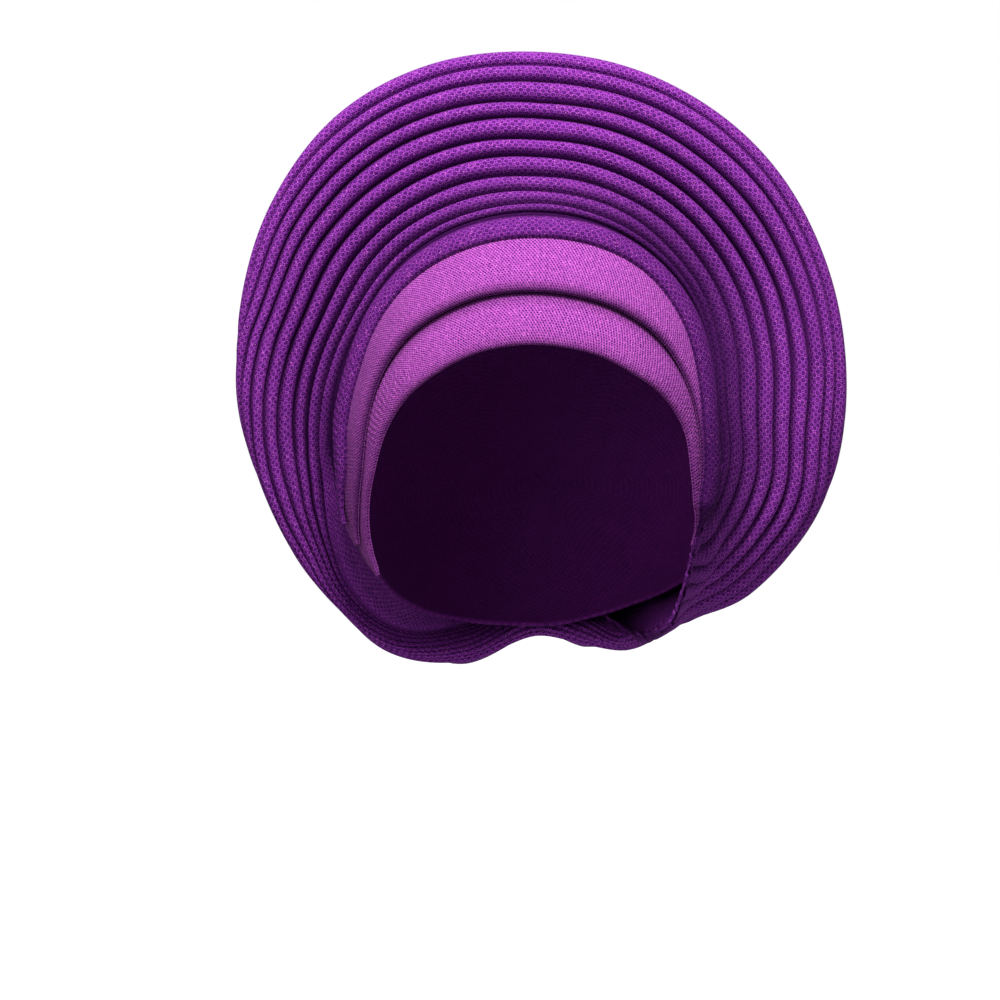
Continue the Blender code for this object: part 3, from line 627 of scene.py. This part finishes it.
def makeFan():
    angle = np.linspace(-90.0, 270.0, fan["rows"], endpoint=False)
    turn = np.radians(angle)
    width = fanColumn("width", angle)
    turnedIn = fanColumn("turnedIn", angle)
    creases = fanCreases(angle) * width[:, None]
    pleats = creases.shape[1] - 1
    for k in range(1, pleats):
        drift = waves(turn, (3 + k % 3, 7 + k % 4, 13), (k * 1.3, k * 2.1, k * 0.7), (0.5, 0.35, 0.15))
        creases[:, k] += fan["wobble"] * drift * np.clip(width / 50.0, 0.3, 1.0)
    start, finish = creases[:, :-1], creases[:, 1:]
    r0, y0 = fanPlain(angle[:, None], start)
    r1, y1 = fanPlain(angle[:, None], finish)
    pitch = np.hypot(r1 - r0, y1 - y0)
    heights = np.minimum(fan["rollHeight"], fan["rollSlenderness"] * pitch) * np.array(fan["fullness"])
    spread = fanColumn("rimR", angle) - fanColumn("edgeR", angle)
    hem = np.clip(0.15 * spread, 1.5, fan["hem"])
    hemParts = fan["hemParts"]

    # across one roll: height * (1 - |u|^2.3)^0.6, u from -1 to 1 and 0 at the crest, less
    # depth * (1 - distance / reach)^2 at the two creases
    across = np.linspace(0.0, 1.0, fan["perRoll"], endpoint=False)
    crest = fan["crestAt"]
    u = np.where(across < crest, (crest - across) / crest, (across - crest) / (1 - crest))
    arc = (1 - u**2.3) ** 0.6
    plain = np.zeros_like(angle)
    seen = fan["turnedSeen"]
    valleyAt, valleyBy = np.array(fan["valleySide"]).T
    valleyScale = np.interp(angle, valleyAt, valleyBy)
    sideAt, sideBy = np.array(fan["sideShade"]).T
    sideShade = np.interp(angle, sideAt, sideBy)
    room = np.clip(spread / 35.0, 0.3, 1.0)
    overEdge = smoothstep(0.0, 3.0, turnedIn)
    smooth = np.zeros_like(heights)
    smooth[:, 0] = smoothstep(*fan["opens"], angle)
    alongs = [np.maximum(-hem * part, turnedIn - seen - 1.0) for part in hemParts]
    lifts = [plain] * len(hemParts)
    # painted shade of the hem at the inner edge
    darks = [plain + 0.6] * len(hemParts)
    pleatOf = [0] * len(hemParts)
    depth = (0.4, *fan["creaseDepth"])
    dark = (1.0, *fan["creaseDark"])
    for k in range(pleats):
        step = finish[:, k] - start[:, k]
        phases = (k * 0.9, k * 1.7, k * 2.9)
        swell = waves(turn, (2 + k % 2, 5, 9 + k % 3), phases, (0.5, 0.3, 0.2))
        lively = 1 + fan["swell"] * swell
        narrow = np.clip(pitch[:, k] / 5.0, 0.15, 1.0)
        for t, s in zip(across, arc):
            out = start[:, k] + t * step - turnedIn
            out = np.where(out < -seen, -seen + 0.03 * (out + seen), out)
            kept = fan["edgeHeight"] * smoothstep(-seen, -1.0, out)
            kept = kept + (1 - fan["edgeHeight"]) * smoothstep(0.0, 5.0, out)
            kept = (1 + overEdge * (kept - 1)) * (1 - smooth[:, k] * (1 - t)) * room
            along = out + turnedIn
            near = max(0.0, 1 - t / fan["creaseReach"])
            far = max(0.0, 1 - (1 - t) / fan["creaseReach"])
            cut = (depth[k] * near**2 + depth[k + 1] * far**2) * narrow
            # painted shade: dark at the two creases, fading up the roll over shadeReach, plus the valley
            # and side shade; kept up to the turned-in edge and gone where the inner pleat opens
            shade = dark[k] * max(0.0, 1 - t / fan["shadeReach"][k]) ** 1.3 + dark[k + 1] * far**1.5
            alongs.append(along)
            lifts.append((heights[:, k] * s * lively - cut) * kept)
            around = np.clip(fan["valleyShade"][k] * valleyScale + sideShade, 0.0, 0.8)
            seenShade = 1 + overEdge * (smoothstep(-4.0, -0.5, out) - 1)
            seenShade = seenShade * (1 - smooth[:, k] * (1 - t))
            darks.append(around + (1 - around) * shade * seenShade)
            pleatOf.append(k)
    alongs.append(width)
    lifts.append(plain - 0.4)
    # painted shade at the rim
    darks.append(plain + 0.3)
    pleatOf.append(pleats - 1)
    front = np.stack([fanSurface(angle, a, h) for a, h in zip(alongs, lifts)], axis=1)
    count = front.shape[1]
    # back wall: every third column of the front, one thickness lower, without the deep creases
    picked = np.concatenate([[count - 1], np.arange(count - 4, 0, -3), [0]])
    lower = [np.maximum(lifts[c], 0.0) * fan["backHeight"] - fan["thickness"] for c in picked]
    back = np.stack([fanSurface(angle, alongs[c], h) for c, h in zip(picked, lower)], axis=1)
    # low at -X the cloth runs on inwards over the bonnet instead of turning back
    inwardAt, inwardBy = np.array(fan["inward"]).T
    inward = np.interp(angle, inwardAt, inwardBy)
    share = np.clip(inward / 4.0, 0.0, 1.0)[:, None]
    edgeR, edgeY = fanColumn("edgeR", angle), fanColumn("edgeY", angle)
    drop = fan["inwardDrop"] * inward
    for column, part in enumerate(hemParts):
        laid = haloPoint(angle, edgeR - inward * part, edgeY - drop * part)
        front[:, column] += share * (clearOfBlock(laid, 3.4) - front[:, column])
    laid = haloPoint(angle, edgeR - inward, edgeY - drop)
    back[:, -1] += share * (clearOfBlock(laid, 1.4) - back[:, -1])
    grid = np.concatenate([front, back], axis=1)

    # u is the length along the middle of each pleat, v the length across from the pleat's crease
    columns = np.concatenate([np.arange(count), picked])
    nextOne = np.roll(columns, -1)
    pleatOf = np.array(pleatOf)
    firstOf = np.array([0] + [len(hemParts) + k * fan["perRoll"] for k in range(1, pleats)])
    loop = np.concatenate([front, front[:1]], axis=0)
    middles = len(hemParts) + np.arange(pleats) * fan["perRoll"] + fan["perRoll"] // 2
    u = arcLengths(loop[:, middles], 0)[:, pleatOf[columns]]
    v = arcLengths(loop, 1)
    base = v[:, firstOf[pleatOf[columns]]]
    uvNear = np.stack([u, v[:, columns] - base], axis=-1)
    uvFar = np.stack([u, v[:, nextOne] - base], axis=-1)
    # painted shade for each point; the back wall gets a constant half
    paintedShade = np.concatenate([np.stack(darks, axis=1), np.full((len(angle), len(picked)), 0.5)], axis=1)
    item = buildSkin("pleatedFan", grid, uvNear, uvFar, True, paintedShade)
    return finishPiece(item, "pleated_fan", pleatLook)


# forehead bands and brow fold
bands = {
    "columns": ("angle", "opening", "first", "second", "fold"),
    "lines": (                  # angle, then the radius of each line between two strips there
        (-27, 70.2, 71.1, 71.4, 72.4), (-20, 67.8, 69.1, 69.8, 72.8), (-10, 65.1, 67.1, 68.0, 73.4),
        (0, 63.1, 67.2, 68.7, 73.8), (15, 62.4, 68.5, 70.6, 75.4), (30, 59.4, 70.7, 76.4, 82.4),
        (45, 54.9, 72.6, 84.9, 91.0), (60, 52.3, 72.3, 91.5, 97.0), (75, 50.3, 71.2, 93.6, 100.4),
        (90, 49.8, 70.9, 93.5, 100.9), (105, 50.5, 71.7, 93.3, 100.4), (120, 52.3, 72.6, 91.9, 97.5),
        (135, 54.7, 73.3, 87.5, 92.1), (150, 58.5, 71.8, 81.4, 85.9), (165, 61.4, 69.5, 77.9, 82.0),
        (180, 64.1, 69.2, 76.1, 79.0), (192, 68.0, 72.2, 78.4, 79.8), (203, 71.6, 76.2, 78.0, 79.2),
        (215, 75.0, 76.0, 77.2, 78.0)),
    "thickness": 2.0,
    "rows": 900,
    "across": 34,
    "layerStep": 2.6,           # how much further out each next layer lies
    "endBlend": 16.0,           # degrees over which the ends at +X run on to the fan's edge
    "tailFade": 22.0,           # degrees over which the turned-in part narrows at the end at -X
    "hemDepth": 3.0,            # how far behind the fan's inner edge a turned-in edge ends
}
# crown and dark go by the share across, ribs and endShade by the angle; crown and ribs in mm; dark and
# endShade are painted shade, in the creases along the strip's edges and towards its ends, which turn
# away from the light
lowerBand = {
    "name": "lowerForeheadBand", "node": "lower_forehead_band", "inner": "opening", "outer": "first",
    "begin": -26.0, "end": 214.0, "layer": 0, "tuck": 3.0, "turnedIn": 0.0,
    "crown": ((0, 0.0), (0.15, 0.9), (0.45, 1.1), (0.75, 0.2), (0.9, -0.4), (1, -0.6)),
    "dark": ((0, 0.5), (0.06, 0.25), (0.14, 0.0), (0.60, 0.0), (0.78, 0.45), (0.86, 1.0), (1, 1.0)),
    "ribs": (
        (-26.0, 0.0), (0.0, 0.10), (28.0, 0.10), (42.0, 0.0), (134.0, 0.0), (146.0, 0.17),
        (165.0, 0.17), (176.0, 0.0), (214.0, 0.0)),
    "endShade": ((-26, 0.55), (0, 0.5), (25, 0.25), (50, 0.0), (135, 0.0), (165, 0.35), (214, 0.5)),
    "fullFrom": 15.0, "ribPitch": 2.2, "lean": 0.55, "flat": (0.023, 0.30), "look": litBandLook,
}
upperBand = {
    "name": "upperForeheadBand", "node": "upper_forehead_band", "inner": "first", "outer": "second",
    "begin": -26.0, "end": 203.0, "layer": 1, "tuck": 3.0, "turnedIn": 0.0,
    "crown": ((0, 0.2), (0.12, 1.3), (0.4, 1.6), (0.75, 0.8), (0.92, 0.0), (1, -0.3)),
    "dark": ((0, 0.9), (0.05, 0.5), (0.14, 0.0), (0.84, 0.0), (0.93, 0.9), (1, 1.0)),
    "ribs": ((-26.0, 0.0), (166.0, 0.0), (176.0, 0.09), (196.0, 0.09), (203.0, 0.0)),
    "endShade": (
        (-26, 0.65), (10, 0.55), (35, 0.15), (50, 0.0), (125, 0.0), (150, 0.3), (175, 0.5), (203, 0.6)),
    "fullFrom": 15.0, "ribPitch": 1.5, "lean": 0.1, "flat": (0.033, 0.27), "look": litBandLook,
}
browFold = {
    "name": "browFold", "node": "brow_fold", "inner": "second", "outer": "fold",
    "begin": -26.0, "end": 196.0, "layer": 2, "tuck": 1.6, "turnedIn": 1.0,
    "crown": ((0, -0.4), (0.25, 1.3), (0.6, 1.6), (1, -0.8)),
    "dark": ((0, 0.7), (0.1, 0.0), (0.6, 0.05), (0.8, 0.6), (0.87, 1.0), (0.92, 0.9), (1, 0.6)),
    "ribs": ((-26.0, 0.0), (130.0, 0.0), (150.0, 0.16), (180.0, 0.16), (196.0, 0.0)),
    "endShade": (
        (-26, 0.85), (0, 0.8), (30, 0.55), (55, 0.25), (85, 0.05), (130, 0.05), (160, 0.3), (196, 0.5)),
    "fullFrom": 6.5, "ribPitch": 3.4, "lean": 1.2, "flat": (0.028, 0.31), "look": shadedFoldLook,
}


def bandLine(name, at):
    # radius of one line at any angle, a smooth curve through the table
    table = np.array(bands["lines"], float)
    return through(table[:, 0], table[:, bands["columns"].index(name)], at)


def browPoint(x, z, lift):
    # front of an ellipsoid: y = -b sqrt(1 - (x/a)^2 - (z/c)^2), and its outward direction
    # (x/a^2, y/b^2, z/c^2), with z from the middle and the half sizes a, b, c grown by the lift
    a, b, c = (browForm[key] + lift for key in ("halfWidth", "halfLength", "rise"))
    px, pz = x / a, (z + blockForm["rise"]) / c
    py = -np.sqrt(np.clip(1 - px**2 - pz**2, 0.01, 1.0))
    outward = np.stack([px / a, py / b, pz / c], axis=-1)
    return np.stack([x, py * b, z], axis=-1), outward / np.linalg.norm(outward, axis=-1, keepdims=True)


def makeStrip(strip):
    # wrapped strip: its middle surface lies on the brow ellipsoid, and each section is a flat loop
    # with round edges; height = crown(share across) * fullness + waves * sin(pi share), plus
    # rib * sin(2 pi (length + lean * across) / pitch) on its outer side
    angle = np.linspace(strip["begin"], strip["end"], bands["rows"])
    low = bandLine(strip["inner"], angle)
    high = bandLine(strip["outer"], angle)
    ends = np.minimum(angle - strip["begin"], strip["end"] - angle)
    high = np.maximum(high + strip["tuck"] * np.clip(ends / 20.0, 0.0, 1.0), low + 1.6)
    share = 0.5 - 0.5 * np.cos(np.pi * np.linspace(0.0, 1.0, bands["across"]))
    radius = low[:, None] + (high - low)[:, None] * share
    x = bandCentre[0] + radius * np.cos(np.radians(angle))[:, None]
    z = bandCentre[1] + radius * np.sin(np.radians(angle))[:, None]
    lift = strip["layer"] * bands["layerStep"] + bands["thickness"]
    surface, outward = browPoint(x, z, lift)
    wide = (high - low)[:, None]
    full = np.clip(wide / strip["fullFrom"], 0.15, 1.0)
    crownAt, crownBy = np.array(strip["crown"]).T
    crown = through(crownAt, crownBy, share)[None, :] * full
    length = arcLengths(surface, 0)[:, [len(share) // 2]]
    ribAt, ribBy = np.array(strip["ribs"]).T
    ribs = np.interp(angle, ribAt, ribBy)[:, None] * np.sin(
        2 * np.pi * (length + strip["lean"] * share * wide) / strip["ribPitch"])
    ribs = ribs * (smoothstep(0.05, 0.3, share) * smoothstep(1.0, 0.75, share))[None, :]
    slack = waves(np.radians(angle), (5, 11, 19), (0.4, 1.9, 3.1), (0.5, 0.3, 0.2))
    slack = 0.25 * slack[:, None] * np.sin(np.pi * share)
    thickness = np.minimum(bands["thickness"], 0.8 * wide)
    half = edgeRound(np.minimum(share, 1 - share)[None, :] * wide, thickness)
    middle = surface + outward * (crown + slack - thickness / 2)[..., None]
    # towards the fan: middle + moved * (place on the fan's inner edge - middle), where moved grows
    # smoothly to 1 over the last part across and at the end at +X
    haloAngle = np.degrees(np.arctan2(z[:, -1] - fanCentre[1], x[:, -1] - fanCentre[0]))
    haloAngle = np.mod(haloAngle + 90.0, 360.0) - 90.0
    hemR = fanColumn("edgeR", haloAngle) + 1.0
    hemY = fanColumn("edgeY", haloAngle) + bands["hemDepth"]
    hem = haloPoint(haloAngle, hemR, hemY)
    tail = smoothstep(0.0, bands["tailFade"], strip["end"] - angle)[:, None]
    turned = strip["turnedIn"] * tail * smoothstep(0.84, 1.0, share)[None, :]
    ending = smoothstep(bands["endBlend"], 0.0, angle - strip["begin"])[:, None]
    moved = 1 - (1 - turned) * (1 - ending)
    middle = middle + moved[..., None] * (hem[:, None] - middle)
    outside = middle + outward * (half + ribs)[..., None]
    inside = middle - outward * half[..., None]
    grid = np.concatenate([outside, inside[:, ::-1]], axis=1)
    v = arcLengths(outside, 1)
    uvNear, uvFar = doubledUv(np.broadcast_to(length, v.shape), v)
    # painted shade: dark across the strip, with endShade added towards its ends; the inner side gets a
    # constant half
    darkAt, darkBy = np.array(strip["dark"]).T
    dark = np.interp(share, darkAt, darkBy)
    shadeAt, shadeBy = np.array(strip["endShade"]).T
    endShade = np.interp(angle, shadeAt, shadeBy)[:, None]
    seen = dark + (1 - dark) * endShade
    paintedShade = np.concatenate([seen, np.full_like(seen, 0.5)], axis=1)
    item = buildSkin(strip["name"], grid, uvNear, uvFar, False, paintedShade)
    return finishPiece(item, strip["node"], strip["look"])


# bonnet
bonnet = {
    # height of the edge, and how many degrees round from the front it lies at +X and at -X
    "edge": (
        (-42, 0, 0), (-44, 20, 20), (-60, 46, 45), (-79, 57, 58), (-95, 60, 67), (-113, 74, 74),
        (-130, 98, 86), (-143, 124, 98), (-151, 148, 120), (-155, 166, 150), (-156, 180, 180)),
    "smoothRows": 9,            # how many rows the edge's running mean takes
    "lift": 1.0,                # middle of the cloth over the inner ellipsoid
    "measuredAt": 20,           # column whose length is the cloth's u
    "thickness": 2.0,
    "rows": 360,
    "across": 60,
    "slack": 0.5,
    "flat": (0.25, 0.25),
}


def makeBonnet():
    # great circles of the inner ellipsoid from each point of the edge to its backmost point:
    # unit = (sin((1 - s) a) rim + sin(s a) pole) / sin(a), s the share of the way, a the angle
    table = np.array(bonnet["edge"], float)
    height = np.concatenate([table[:, 0], table[-2::-1, 0]])
    turn = np.concatenate([table[:, 1], 360.0 - table[-2::-1, 2]])
    knots = np.linspace(0.0, 1.0, len(turn))
    at = np.linspace(0.0, 1.0, bonnet["rows"], endpoint=False)
    turn, height = np.interp(at, knots, turn), np.interp(at, knots, height)
    kernel = np.ones(bonnet["smoothRows"]) / bonnet["smoothRows"]
    spare = bonnet["smoothRows"] // 2
    turn = np.concatenate([turn[-spare:] - 360.0, turn, turn[:spare] + 360.0])
    turn = np.convolve(turn, kernel, "valid")
    height = np.convolve(np.concatenate([height[-spare:], height, height[:spare]]), kernel, "valid")
    level = height + blockForm["rise"]
    up = level / np.where(level > 0, blockForm["rise"], blockForm["drop"])
    flatSize = np.sqrt(np.clip(1 - up**2, 0.0, 1.0))
    around = np.radians(turn)
    rim = np.stack([flatSize * np.sin(around), -flatSize * np.cos(around), up], axis=-1)
    pole = np.array([0.0, 1.0, 0.0])
    apart = np.arccos(np.clip(rim @ pole, -1.0, 1.0))[:, None, None]
    share = (np.linspace(0.0, 0.9997, bonnet["across"]) ** 1.15)[None, :, None]
    unit = (np.sin((1 - share) * apart) * rim[:, None, :] + np.sin(share * apart) * pole) / np.sin(apart)

    def lifted(lift):
        # unit * (half sizes + lift), moved to the ellipsoid's middle
        reach = np.where(unit[..., 2] > 0, blockForm["rise"], blockForm["drop"]) + lift
        wide = blockForm["halfWidth"] + lift
        deep = blockForm["halfLength"] + lift
        half = np.stack(np.broadcast_arrays(wide, deep, reach), axis=-1)
        return unit * half - np.array([0.0, 0.0, blockForm["rise"]])

    distance = arcLengths(lifted(bonnet["lift"]), 1)
    half = edgeRound(distance, bonnet["thickness"])
    slack = waves(around, (4, 9, 15), (0.3, 1.1, 2.3), (0.5, 0.3, 0.2))[:, None]
    slack = bonnet["slack"] * slack * smoothstep(0.0, 25.0, distance)
    slack = slack * smoothstep(0.0, 0.5, 1 - share[..., 0])
    outside = lifted(bonnet["lift"] + half + slack)
    inside = lifted(bonnet["lift"] - half + slack)
    grid = np.concatenate([outside, inside[:, ::-1]], axis=1)
    loop = np.concatenate([outside, outside[:1]], axis=0)
    u = np.broadcast_to(arcLengths(loop, 0)[:, [bonnet["measuredAt"]]], loop.shape[:2])
    uvNear, uvFar = doubledUv(u, arcLengths(loop, 1))
    item = buildSkin("crownCap", grid, uvNear, uvFar, True, np.zeros((1, grid.shape[1])))
    return finishPiece(item, "crown_cap", shadedCapLook)


# drape over the back
drape = {
    "gatherPoint": (0.0, 111.0, -112.0),
    "underRim": 6.5,            # how far before the fan's outer edge the drape starts
    "smoothRows": 13,           # how many rows the running mean of its start takes
    "rimPull": 0.30,            # how long the lines run straight on at the rim, share of their reach
    "gatherPull": 0.60,         # the same before the gather
    "clearance": 6.0,           # over the inner ellipsoid
    "folds": ((14, 0.0, 0.9), (9, 1.3, 0.5), (23, 2.2, 0.35), (31, 0.7, 0.25)),   # count, phase, size
    "foldHeight": 1.5,
    "foldTwist": 0.6,           # radians by which a fold leans on its way to the gather
    "darkDepth": 2.5,           # depth of a fold whose painted shade would be full
    # the most painted shade that a fold gets
    "darkMost": 0.6,
    "measuredAt": 10,           # column whose length is the cloth's u
    "thickness": 2.0,
    "rows": 640,
    "across": 70,
    "flat": (0.34, 0.32), "cutArea": 0.085,
}


def makeDrape():
    # Bezier lines from under the rim to the gather point, start (1 - t)^3 + 3 first t (1 - t)^2 +
    # 3 second t^2 (1 - t) + gather t^3, with soft folds square to them: foldHeight * sin(pi t)^1.2 *
    # sum of size * cos(count * turn + phase + twist * t * sin(2 turn))
    angle = np.linspace(-90.0, 270.0, drape["rows"], endpoint=False)
    close = fanColumn("close", angle)
    rim = fanColumn("width", angle) - drape["underRim"]
    level = haloPoint(angle, *fanPlain(angle, rim))
    away = fanSurface(angle, rim, -fan["thickness"] - 0.5) - level
    # running mean round the rim, because the fan's back turns over where its section bends
    spare = drape["smoothRows"] // 2
    kernel = np.ones(2 * spare + 1) / (2 * spare + 1)
    ring = np.concatenate([away[-spare:], away, away[:spare]])
    start = level + np.stack([np.convolve(ring[:, axis], kernel, "valid") for axis in range(3)], axis=1)
    onward = haloPoint(angle, -close, 1.0) - haloPoint(angle, 0.0, 0.0)
    gather = np.array(drape["gatherPoint"])
    way = start - gather
    reach = np.linalg.norm(way, axis=1, keepdims=True)
    aside = way * np.array([1.0, 0.0, 1.0])
    aside = aside / np.linalg.norm(aside, axis=1, keepdims=True)
    first = start + onward * drape["rimPull"] * reach
    second = gather + aside * drape["gatherPull"] * reach
    t = np.linspace(0.0, 0.9995, drape["across"])[None, :, None]
    curve = (start[:, None] * (1 - t) ** 3 + 3 * first[:, None] * t * (1 - t) ** 2
             + 3 * second[:, None] * t * t * (1 - t) + gather * t**3)
    curve = clearOfBlock(curve, drape["clearance"])
    outward = unitNormals(curve)
    turn = np.radians(angle)[:, None]
    flatT = t[..., 0]
    height = np.zeros((len(angle), drape["across"]))
    for count, phase, size in drape["folds"]:
        lean = drape["foldTwist"] * np.sin(2 * turn) * flatT
        height = height + size * np.cos(count * turn + phase + lean)
    height = height * np.sin(np.pi * flatT) ** 1.2 * drape["foldHeight"]
    distance = arcLengths(curve, 1)
    half = edgeRound(distance, drape["thickness"])
    middle = curve + outward * (height - drape["thickness"] / 2)[..., None]
    outside = middle + outward * half[..., None]
    inside = middle - outward * half[..., None]
    grid = np.concatenate([outside, inside[:, ::-1]], axis=1)
    loop = np.concatenate([outside, outside[:1]], axis=0)
    u = np.broadcast_to(arcLengths(loop, 0)[:, [drape["measuredAt"]]], loop.shape[:2])
    uvNear, uvFar = doubledUv(u, arcLengths(loop, 1))
    # painted shade in the folds' hollows: deeper folds darker, at most darkMost
    dark = np.clip(-height / drape["darkDepth"], 0.0, drape["darkMost"])
    paintedShade = np.concatenate([dark, dark[:, ::-1]], axis=1)
    item = buildSkin("backDrape", grid, uvNear, uvFar, True, paintedShade)
    return finishPiece(item, "back_drape", pleatLook)


# stage, light and camera, in metres
stage = {
    "floorZ": -0.36, "floorHalf": 15.0, "floorColour": (0.25, 0.25, 0.26),
    "seenWhite": 0.95,          # how bright the camera sees the floor
    "worldStrength": 0.42,      # how bright the surroundings are for the cloth; the camera sees 1
    "lights": (
        # name, place, aimed at, size, power
        ("keyLight", (0.0, -0.95, 1.35), (0.0, -0.02, -0.06), 0.75, 45.0),
        ("fillLight", (-0.9, -1.8, 0.1), (0.0, 0.0, -0.1), 1.2, 6.0),
        ("backLight", (-0.3, 1.1, 1.0), (0.0, 0.0, -0.05), 0.8, 12.0)),
    "cameraAt": (-0.0164, -3.0, -0.1048),
    "viewWidth": 0.40,          # width of the view at viewDepth, the y of the pleats
    "viewDepth": -0.04,
    "sensor": 36.0,             # camera's sensor width in mm
}


def makeFloor():
    # one flat square; the camera sees it white, and the cloth gets only its dim reflection
    half = stage["floorHalf"]
    corners = np.array([(-1, -1, 0), (1, -1, 0), (1, 1, 0), (-1, 1, 0)]) * half
    corners = corners + (0, 0, stage["floorZ"])
    mesh = bpy.data.meshes.new("floor")
    mesh.from_pydata(corners.tolist(), [], [(0, 1, 2, 3)])
    floor = bpy.data.objects.new("floor", mesh)
    bpy.context.scene.collection.objects.link(floor)
    paper = bpy.data.materials.new("paper")
    paper.use_nodes = True
    shader = paper.node_tree.nodes["Principled BSDF"]
    shader.inputs["Base Color"].default_value = (*stage["floorColour"], 1.0)
    shader.inputs["Roughness"].default_value = 0.9
    shader.inputs["Specular IOR Level"].default_value = 0.1
    sight = paper.node_tree.nodes.new("ShaderNodeLightPath")
    paper.node_tree.links.new(sight.outputs["Is Camera Ray"], shader.inputs["Emission Strength"])
    shader.inputs["Emission Color"].default_value = (*[stage["seenWhite"]] * 3, 1.0)
    mesh.materials.append(paper)


def aim(item, target):
    # tilt from straight down = atan2(flat distance, drop), turn = atan2(-x, y) of the direction
    direction = np.array(target) - np.array(item.location)
    flat = np.hypot(direction[0], direction[1])
    turn = np.arctan2(-direction[0], direction[1])
    item.rotation_euler = (np.arctan2(flat, -direction[2]), 0.0, turn)


def makeLights():
    # world strength = worldStrength + (1 - worldStrength) * seen by the camera, and three soft discs
    world = bpy.data.worlds.new("studio")
    world.use_nodes = True
    tree = world.node_tree
    sky = tree.nodes["Background"]
    sky.inputs["Color"].default_value = (1.0, 1.0, 1.0, 1.0)
    sight = tree.nodes.new("ShaderNodeLightPath")
    seen = mathNode(tree, "MULTIPLY_ADD", sight.outputs["Is Camera Ray"], 1.0 - stage["worldStrength"],
                    stage["worldStrength"])
    tree.links.new(seen, sky.inputs["Strength"])
    bpy.context.scene.world = world
    for name, place, target, size, power in stage["lights"]:
        lamp = bpy.data.lights.new(name, "AREA")
        lamp.shape = "DISK"
        lamp.size = size
        lamp.energy = power
        item = bpy.data.objects.new(name, lamp)
        item.location = place
        aim(item, target)
        bpy.context.scene.collection.objects.link(item)


def makeCamera():
    # level camera towards +Y: focal length = sensor width * distance / width of the view
    lens = bpy.data.cameras.new("camera")
    lens.sensor_width = stage["sensor"]
    distance = stage["viewDepth"] - stage["cameraAt"][1]
    lens.lens = stage["sensor"] * distance / stage["viewWidth"]
    lens.clip_end = 50.0
    item = bpy.data.objects.new("camera", lens)
    item.location = stage["cameraAt"]
    item.rotation_euler = (np.pi / 2, 0.0, 0.0)
    bpy.context.scene.collection.objects.link(item)
    bpy.context.scene.camera = item


print("stage: cloth pieces")
makeBonnet()
makeStrip(lowerBand)
makeStrip(upperBand)
makeStrip(browFold)
makeFan()
makeDrape()
print("stage: floor, light and camera")
makeFloor()
makeLights()
makeCamera()
bpy.context.scene.view_settings.view_transform = "Standard"
